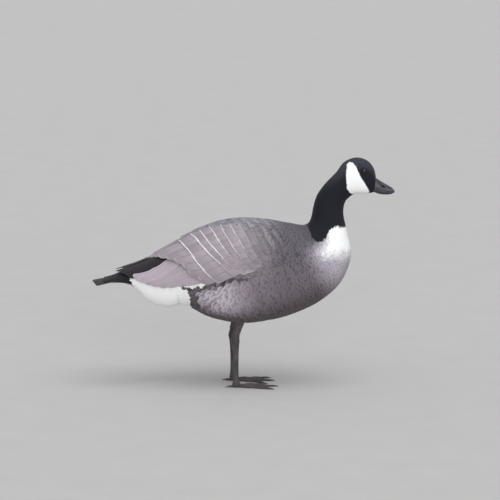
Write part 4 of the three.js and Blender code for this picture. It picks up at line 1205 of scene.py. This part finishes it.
# Eyes
EYE_RADIUS = 0.006
EYE_SHOWS = 0.0022  # how far the eye stands out of the head
EYE_FACING = (0.12, 1, 0.22)  # the left eye's outlook
EYE_NEAR = Sizes(u=(17, 22, 0.01), angle=(0.3, 1.8, 0.01))  # where on the body its seat is looked for
CORNEA = Sizes(high=0.04, to=(0.3, 0.75))  # as a share of the radius, and the angles at which it ends
POLE = 0.02  # the angle left open at the eye's front and back, and filled by a fan
LID_RING = (0.0056, 0.0051)  # radii of the lids' rim along and across the eye
LID_THICK = 0.00055
# How much thicker the upper lid is, how many folds run round the rim and how high, and how deep it is seated
LID_FORM = Sizes(upper=0.35, folds=3, fold=0.12, sunk=0.0002)


def eye_frame(side):
    """The eye's middle, its outlook, and the directions up and ahead across it."""
    u, angle = np.meshgrid(np.arange(*EYE_NEAR.u), np.arange(*EYE_NEAR.angle), indexing="ij")
    points = on_body(u, side * angle)
    miss = np.hypot(points[..., 0] - EYE_AT[0], points[..., 2] - EYE_AT[1])
    seat = points[np.unravel_index(miss.argmin(), miss.shape)]
    out = unit(np.array(EYE_FACING) * (1, side, 1))
    up = unit(np.array([0, 0, 1]) - out * out[2])
    middle = seat - np.array([0, side * (EYE_RADIUS - EYE_SHOWS), 0])
    return middle, out, up, np.cross(up, out) * side


def eyeball(name, side, material):
    middle, out, up, ahead = eye_frame(side)
    fall, turn = tube_grid(POLE, math.pi - POLE, GRIDS.eye)
    cornea = 1 + CORNEA.high * (1 - soft(fall, *CORNEA.to))
    across = (np.cos(turn)[..., None] * ahead + np.sin(turn)[..., None] * up) * np.sin(fall)[..., None]
    points, faces = tube(middle + EYE_RADIUS * cornea[..., None] * (across + np.cos(fall)[..., None] * out))
    gaze = np.append((fall / math.pi).ravel(), [0.0, 1.0])
    colours = {"gaze": with_alpha(np.repeat(gaze[:, None], 3, 1), 1.0)}
    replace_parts(piece(f"eyeball_{name}", points, faces, material, "eye", colours), f"eye_{name}")


def lids(name, side, material):
    """The rim of the lids, heavier above, with a fine fold round it."""
    middle, out, up, ahead = eye_frame(side)
    turn, around = ring_grid(np.linspace(0, 2 * np.pi, GRIDS.lid[0], endpoint=False), GRIDS.lid[1])
    upper = 1 + LID_FORM.upper * np.clip(np.sin(turn), 0, 1)
    thick = LID_THICK * upper * (1 + LID_FORM.fold * np.cos(LID_FORM.folds * around))
    seat = middle + out * (EYE_RADIUS - EYE_SHOWS)
    reach_ahead = (LID_RING[0] + thick * np.cos(around)) * np.cos(turn)
    reach_up = (LID_RING[1] + thick * np.cos(around)) * np.sin(turn)
    points = seat + reach_ahead[..., None] * ahead + reach_up[..., None] * up
    points = points + (thick * np.sin(around) - LID_FORM.sunk)[..., None] * out
    flat = points.reshape(-1, 3)
    faces = facing_out(flat, quads(*turn.shape, around=True, along=True))
    piece(f"lids_{name}", flat, faces, material, "black_plumage")


# Materials

class Graph:
    """A material's nodes, with one method for each kind used here."""

    def __init__(self, name):
        self.material = bpy.data.materials.new(name)
        self.material.use_nodes = True
        self.tree = self.material.node_tree
        self.shader = self.tree.nodes["Principled BSDF"]

    def add(self, kind, **inputs):
        node = self.tree.nodes.new(kind)
        for key, value in inputs.items():
            self.feed(node.inputs[key.replace("_", " ")], value)
        return node

    def feed(self, socket, value):
        if isinstance(value, bpy.types.NodeSocket):
            self.tree.links.new(value, socket)
        else:
            socket.default_value = value

    def math(self, operation, *values):
        node = self.add("ShaderNodeMath")
        node.operation = operation
        for socket, value in zip(node.inputs, values):
            self.feed(socket, value)
        return node.outputs[0]

    def times(self, a, b):
        return self.math("MULTIPLY", a, b)

    def most(self, a, b):
        return self.math("MAXIMUM", a, b)

    def ramp(self, value, low, high, to_low=0.0, to_high=1.0):
        node = self.add("ShaderNodeMapRange", Value=value)
        node.interpolation_type = "SMOOTHSTEP"
        for key, number in zip(("From Min", "From Max", "To Min", "To Max"), (low, high, to_low, to_high)):
            self.feed(node.inputs[key], number)
        return node.outputs["Result"]

    def mix(self, share, a, b, blend="MIX"):
        node = self.tree.nodes.new("ShaderNodeMix")
        node.data_type = "RGBA"
        node.blend_type = blend
        self.feed(node.inputs[0], share)
        self.feed(node.inputs[6], a)
        self.feed(node.inputs[7], b)
        return node.outputs[2]

    def shaded(self, colour, shade):
        """A colour times a grey value."""
        node = self.add("ShaderNodeCombineColor")
        for channel in node.inputs:
            self.feed(channel, shade)
        return self.mix(1.0, colour, node.outputs[0], "MULTIPLY")

    def attribute(self, name):
        node = self.add("ShaderNodeAttribute")
        node.attribute_name = name
        return node.outputs

    def place(self):
        return self.add("ShaderNodeTexCoord").outputs["Object"]

    def parts(self, vector):
        return self.add("ShaderNodeSeparateXYZ", Vector=vector).outputs

    def noise(self, vector, scale, detail=2.0):
        return self.add("ShaderNodeTexNoise", Vector=vector, Scale=scale, Detail=detail).outputs["Fac"]

    def cells(self, vector, scale):
        node = self.add("ShaderNodeTexVoronoi", Vector=vector, Scale=scale)
        node.feature = "DISTANCE_TO_EDGE"
        return node.outputs["Distance"]

    def bump(self, height, strength, distance):
        node = self.add("ShaderNodeBump", Height=height, Strength=strength, Distance=distance)
        self.feed(self.shader.inputs["Normal"], node.outputs["Normal"])

    def finish(self, colour, roughness, **whole):
        self.feed(self.shader.inputs["Base Color"], colour)
        self.feed(self.shader.inputs["Roughness"], roughness)
        for key, value in whole.items():
            self.shader.inputs[key.replace("_", " ")].default_value = value
        return self.material


# Colours of horn, skin, eyes and ground, as linear light
TINTS = {
    "shaft": (0.05, 0.04, 0.045),
    # the black horn's blue tint and the lighter, bluer worn horn are painted sky sheen on the bill
    "horn": (0.018, 0.019, 0.026),
    "worn horn and sky sheen": (0.05, 0.052, 0.072),
    "nail": (0.075, 0.07, 0.066),
    "tooth plate": (0.18, 0.165, 0.15),
    # the nostril's pit is painted near black: painted shade in its hollow
    "pit": (0.002, 0.002, 0.002),
    "claw": (0.01, 0.009, 0.009),
    "worn claw": (0.045, 0.04, 0.037),
    "leg": (0.04, 0.035, 0.037),
    "worn leg": (0.10, 0.088, 0.09),
    "between scales": (0.014, 0.013, 0.013),
    "lid": (0.008, 0.008, 0.009),
    "lid fold": (0.018, 0.017, 0.019),
    "iris": (0.008, 0.004, 0.003),
    "iris fibre": (0.024, 0.011, 0.006),
    "pupil": (0.002, 0.002, 0.002),
    "eye rim": (0.004, 0.003, 0.003),
    "ground": (0.47, 0.46, 0.45),
    "ground speckle": (0.52, 0.51, 0.50),
}
UNMARKED = [0.0, 0.0, 0.0, 1.0]  # no pit, teeth or nail


def tint(name):
    return (*TINTS[name], 1.0)


def grained(name, scale, detail, dark, pale, turns=None):
    """A material with a fine grain, and a colour that goes from dark to pale with it."""
    graph = Graph(name)
    grain = graph.noise(graph.place(), scale, detail)
    share = graph.ramp(grain, *turns) if turns else grain
    return graph, grain, graph.mix(share, tint(dark), tint(pale))


# How each kind of feather looks: where its pale edge starts and how softly, how far that edge comes round
# its sides, how strong it is along them, how dark the band before it is, how many barbs the vane shows, how
# wide its shaft is, and its gloss.
PLUMAGE = named(
    "name edge round sides band barbs shaft rough specular",
    ("body_feathers", (0.72, 0.28), 0.2, 0.0, 0.08, 16.0, 0.0, 0.82, 0.2),
    ("covert_feathers", (0.955, 0.018), 0.004, 0.08, 0.15, 60.0, 0.06, 0.62, 0.3),
    ("flight_feathers", (0.97, 0.02), 0.01, 0.4, 0.05, 90.0, 0.07, 0.58, 0.28),
)
# Its barbs: their slant, their width across, how they differ from feather to feather and how far they fray
# the pale edge, in shares of the vane
BARB = Sizes(slant=-0.35, across=2.5, apart=97.0, fray=0.006)
# How the vane's colour changes: from streak to streak, from its root darkened as painted shade to its middle,
# how long the band before the edge is, and the least shade that white feathers keep
VANE_SHADE = Sizes(streaks=(0.84, 1.12), root=(0.84, 1.0), band=(0.3, 0.02), white=0.97)
SHAFT_LINE = 0.34  # how strongly the shaft's line shows


def plumage(look):
    """Feather vanes: barbs that run out from the shaft, a pale edge and a root darkened as painted shade."""
    graph = Graph(look.name)
    uv = graph.add("ShaderNodeUVMap")
    uv.uv_map = "Vane"
    sideways, s, _ = graph.parts(uv.outputs["UV"])
    t = graph.math("ABSOLUTE", graph.math("MULTIPLY_ADD", sideways, 2.0, -1.0))
    tone = graph.attribute("tone")
    barb = graph.times(look.barbs, graph.math("MULTIPLY_ADD", t, BARB.slant, s))
    each = graph.times(tone["Fac"], BARB.apart)
    where = graph.add("ShaderNodeCombineXYZ", X=barb, Y=graph.times(t, BARB.across), Z=each)
    streak = graph.noise(where.outputs[0], 1.0, 3.0)
    rim = graph.math("MULTIPLY_ADD", graph.math("POWER", t, 2.0), look.round, s)
    rim = graph.math("ADD", rim, graph.ramp(streak, 0.2, 0.8, -BARB.fray, BARB.fray))
    start, softness = look.edge
    tip = graph.ramp(rim, start, start + softness)
    share = graph.times(graph.most(tip, graph.ramp(t, 0.8, 0.97, 0.0, look.sides)), tone["Alpha"])
    colour = graph.mix(share, tone["Color"], graph.attribute("edge")["Color"])
    streaks = graph.ramp(streak, 0.25, 0.75, *VANE_SHADE.streaks)
    # the root is darkened as painted shade, where it lies under the feathers above it
    shade = graph.times(streaks, graph.ramp(s, 0.0, 0.6, *VANE_SHADE.root))
    band = [start - length for length in VANE_SHADE.band]
    shade = graph.times(shade, graph.most(graph.ramp(s, *band, 1.0, 1 - look.band), tip))
    shade = graph.most(shade, graph.ramp(tone["Fac"], 0.5, 0.9, 0.0, VANE_SHADE.white))
    colour = graph.shaded(colour, shade)
    if look.shaft:
        line = graph.ramp(t, 0.02, look.shaft, SHAFT_LINE, 0.0)
        line = graph.times(line, graph.ramp(s, 0.9, 0.96, 1.0, 0.0))
        colour = graph.mix(line, colour, tint("shaft"))
    graph.bump(streak, 0.5, 0.0006)
    roughness = graph.ramp(streak, 0.2, 0.8, look.rough - 0.08, look.rough + 0.08)
    return graph.finish(colour, roughness, Specular_IOR_Level=look.specular, Sheen_Weight=0.05)


def skin_material():
    graph = Graph("under_down")
    down = graph.noise(graph.place(), 260.0, 4.0)
    colour = graph.shaded(graph.attribute("tone")["Color"], graph.ramp(down, 0.2, 0.8, 0.55, 0.95))
    graph.bump(down, 0.6, 0.0012)
    return graph.finish(colour, graph.ramp(down, 0.2, 0.8, 0.8, 0.9), Specular_IOR_Level=0.2)


TOOTH_PITCH = 0.0013


def horn_material():
    """Satin black horn with painted bluish sky sheen, painted shade in the nostril's pit, the pale comb along
    the mouth and a greyer nail.
    """
    # wear blends the black horn into worn horn with painted sky sheen
    graph, wear, colour = grained("satin_horn", 110.0, 5.0, "horn", "worn horn and sky sheen", (0.35, 0.75))
    pit, toothed, nail = graph.add("ShaderNodeSeparateColor", Color=graph.attribute("marks")["Color"]).outputs
    along, _, _ = graph.parts(graph.place())
    comb = graph.math("SINE", graph.times(along, 2 * math.pi / TOOTH_PITCH))
    teeth = graph.times(graph.ramp(comb, -0.2, 0.6), toothed)
    # the nostril's pit gets painted shade
    layers = (graph.times(nail, 0.5), "nail"), (graph.times(teeth, 0.6), "tooth plate"), (pit, "pit")
    for share, name in layers:
        colour = graph.mix(share, colour, tint(name))
    fine = graph.noise(graph.place(), 900.0, 3.0)
    graph.bump(graph.math("MULTIPLY_ADD", teeth, 0.8, graph.times(fine, 0.35)), 0.5, 0.0004)
    roughness = graph.most(graph.ramp(wear, 0.3, 0.7, 0.3, 0.46), pit)
    return graph.finish(colour, roughness, Specular_IOR_Level=0.5)


def claw_material():
    graph, wear, colour = grained("claw_horn", 300.0, 4.0, "claw", "worn claw")
    graph.bump(graph.noise(graph.place(), 1200.0, 2.0), 0.3, 0.0002)
    return graph.finish(colour, graph.ramp(wear, 0.3, 0.7, 0.3, 0.5), Specular_IOR_Level=0.5)


def leg_material():
    """Dark skin in small scales, worn paler on their tops."""
    graph, wear, colour = grained("leg_scales", 60.0, 4.0, "leg", "worn leg", (0.3, 0.7))
    scales = graph.cells(graph.place(), 520.0)
    colour = graph.mix(graph.ramp(scales, 0.0, 0.14, 0.6, 0.0), colour, tint("between scales"))
    graph.bump(graph.ramp(scales, 0.0, 0.22), 0.6, 0.0004)
    return graph.finish(colour, graph.ramp(wear, 0.3, 0.7, 0.42, 0.6), Specular_IOR_Level=0.4)


def lid_material():
    graph, folds, colour = grained("lid_skin", 1400.0, 3.0, "lid", "lid fold")
    graph.bump(folds, 0.5, 0.0002)
    return graph.finish(colour, graph.ramp(folds, 0.3, 0.7, 0.6, 0.75), Specular_IOR_Level=0.25)


# Where the pupil and the iris end, as soft turns of gaze
PUPIL_END = (0.135, 0.15)
IRIS_END = (0.245, 0.29)


def eye_material():
    """A black pupil in a dark brown iris, under a wet cornea. gaze goes from 0 at the pupil's middle to 1."""
    graph, fibres, iris = grained("eye_glaze", 1600.0, 3.0, "iris", "iris fibre")
    gaze = graph.attribute("gaze")["Fac"]
    colour = graph.mix(graph.ramp(gaze, *PUPIL_END), tint("pupil"), iris)
    colour = graph.mix(graph.ramp(gaze, *IRIS_END), colour, tint("eye rim"))
    graph.bump(fibres, 0.02, 0.0001)
    return graph.finish(colour, graph.ramp(fibres, 0.3, 0.7, 0.03, 0.05), Specular_IOR_Level=0.5)


# Stage
GROUND_WIDTH = 60
SKY = Sizes(colour=(0.95, 0.97, 1.0, 1.0), strength=0.66)
# Each sun: where it shines to, its strength and its softness in degrees
SUNS = named(
    "name toward strength softness",
    ("overhead", (-0.2, 0.3, -1.0), 1.2, 50),
    ("front", (-0.15, 1.0, -0.1), 1.7, 40),
)
CAMERA_AIM = (0.0147, 0.0, 0.286)
CAMERA_DISTANCE = 8.0
CAMERA_ELEVATION = math.radians(9)
VIEW_WIDTH = 1.05  # what the picture takes in at the bird's distance
SENSOR = 36.0
CLIP_END = 200


def stage():
    bpy.ops.mesh.primitive_plane_add(size=GROUND_WIDTH)
    floor = bpy.context.object
    floor.name = "floor"
    graph, speckle, colour = grained("floor", 12.0, 3.0, "ground", "ground speckle")
    floor.data.materials.append(graph.finish(colour, graph.ramp(speckle, 0.3, 0.7, 0.85, 0.95)))


def turned(obj, way):
    """Turn a lamp or the camera to face a way."""
    obj.rotation_euler = way.to_track_quat("-Z", "Y").to_euler()


def sun(spec):
    light = bpy.data.lights.new(spec.name, "SUN")
    light.energy = spec.strength
    light.angle = math.radians(spec.softness)
    turned(in_scene(spec.name, light), Vector(spec.toward))


def lights():
    world = bpy.data.worlds.new("studio")
    world.use_nodes = True
    sky = world.node_tree.nodes["Background"].inputs
    sky["Color"].default_value = SKY.colour
    sky["Strength"].default_value = SKY.strength
    bpy.context.scene.world = world
    for spec in SUNS:
        sun(spec)


def camera():
    data = bpy.data.cameras.new("camera")
    data.sensor_width = SENSOR
    data.lens = SENSOR * CAMERA_DISTANCE / VIEW_WIDTH
    data.clip_end = CLIP_END
    obj = in_scene("camera", data)
    away = Vector((0, -math.cos(CAMERA_ELEVATION), math.sin(CAMERA_ELEVATION)))
    obj.location = Vector(CAMERA_AIM) + away * CAMERA_DISTANCE
    turned(obj, -away)
    bpy.context.scene.camera = obj


rng = np.random.default_rng(SEED)
camera()
lights()
stage()
feathers = {look.name: plumage(look) for look in PLUMAGE}
horn = horn_material()
claws = claw_material()
leg_skin = leg_material()
lid_skin = lid_material()
eye = eye_material()
skin(skin_material())
for spec in COATS:
    coat(rng, spec, feathers["body_feathers"])
shins(rng, feathers["body_feathers"])
for name, side in SIDES.items():
    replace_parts(coverts(rng, side, feathers["covert_feathers"], f"wing_coverts_{name}"), f"wing_{name}")
    flight(rng, side, feathers["flight_feathers"], f"flight_feathers_{name}")
    shank(name, side, leg_skin)
    foot(name, side, leg_skin, claws)
    eyeball(name, side, eye)
    lids(name, side, lid_skin)
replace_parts(tail(rng, feathers["flight_feathers"]), "tail")
upper_bill(horn)
lower_bill(horn)
bpy.context.scene.view_settings.view_transform = "Standard"
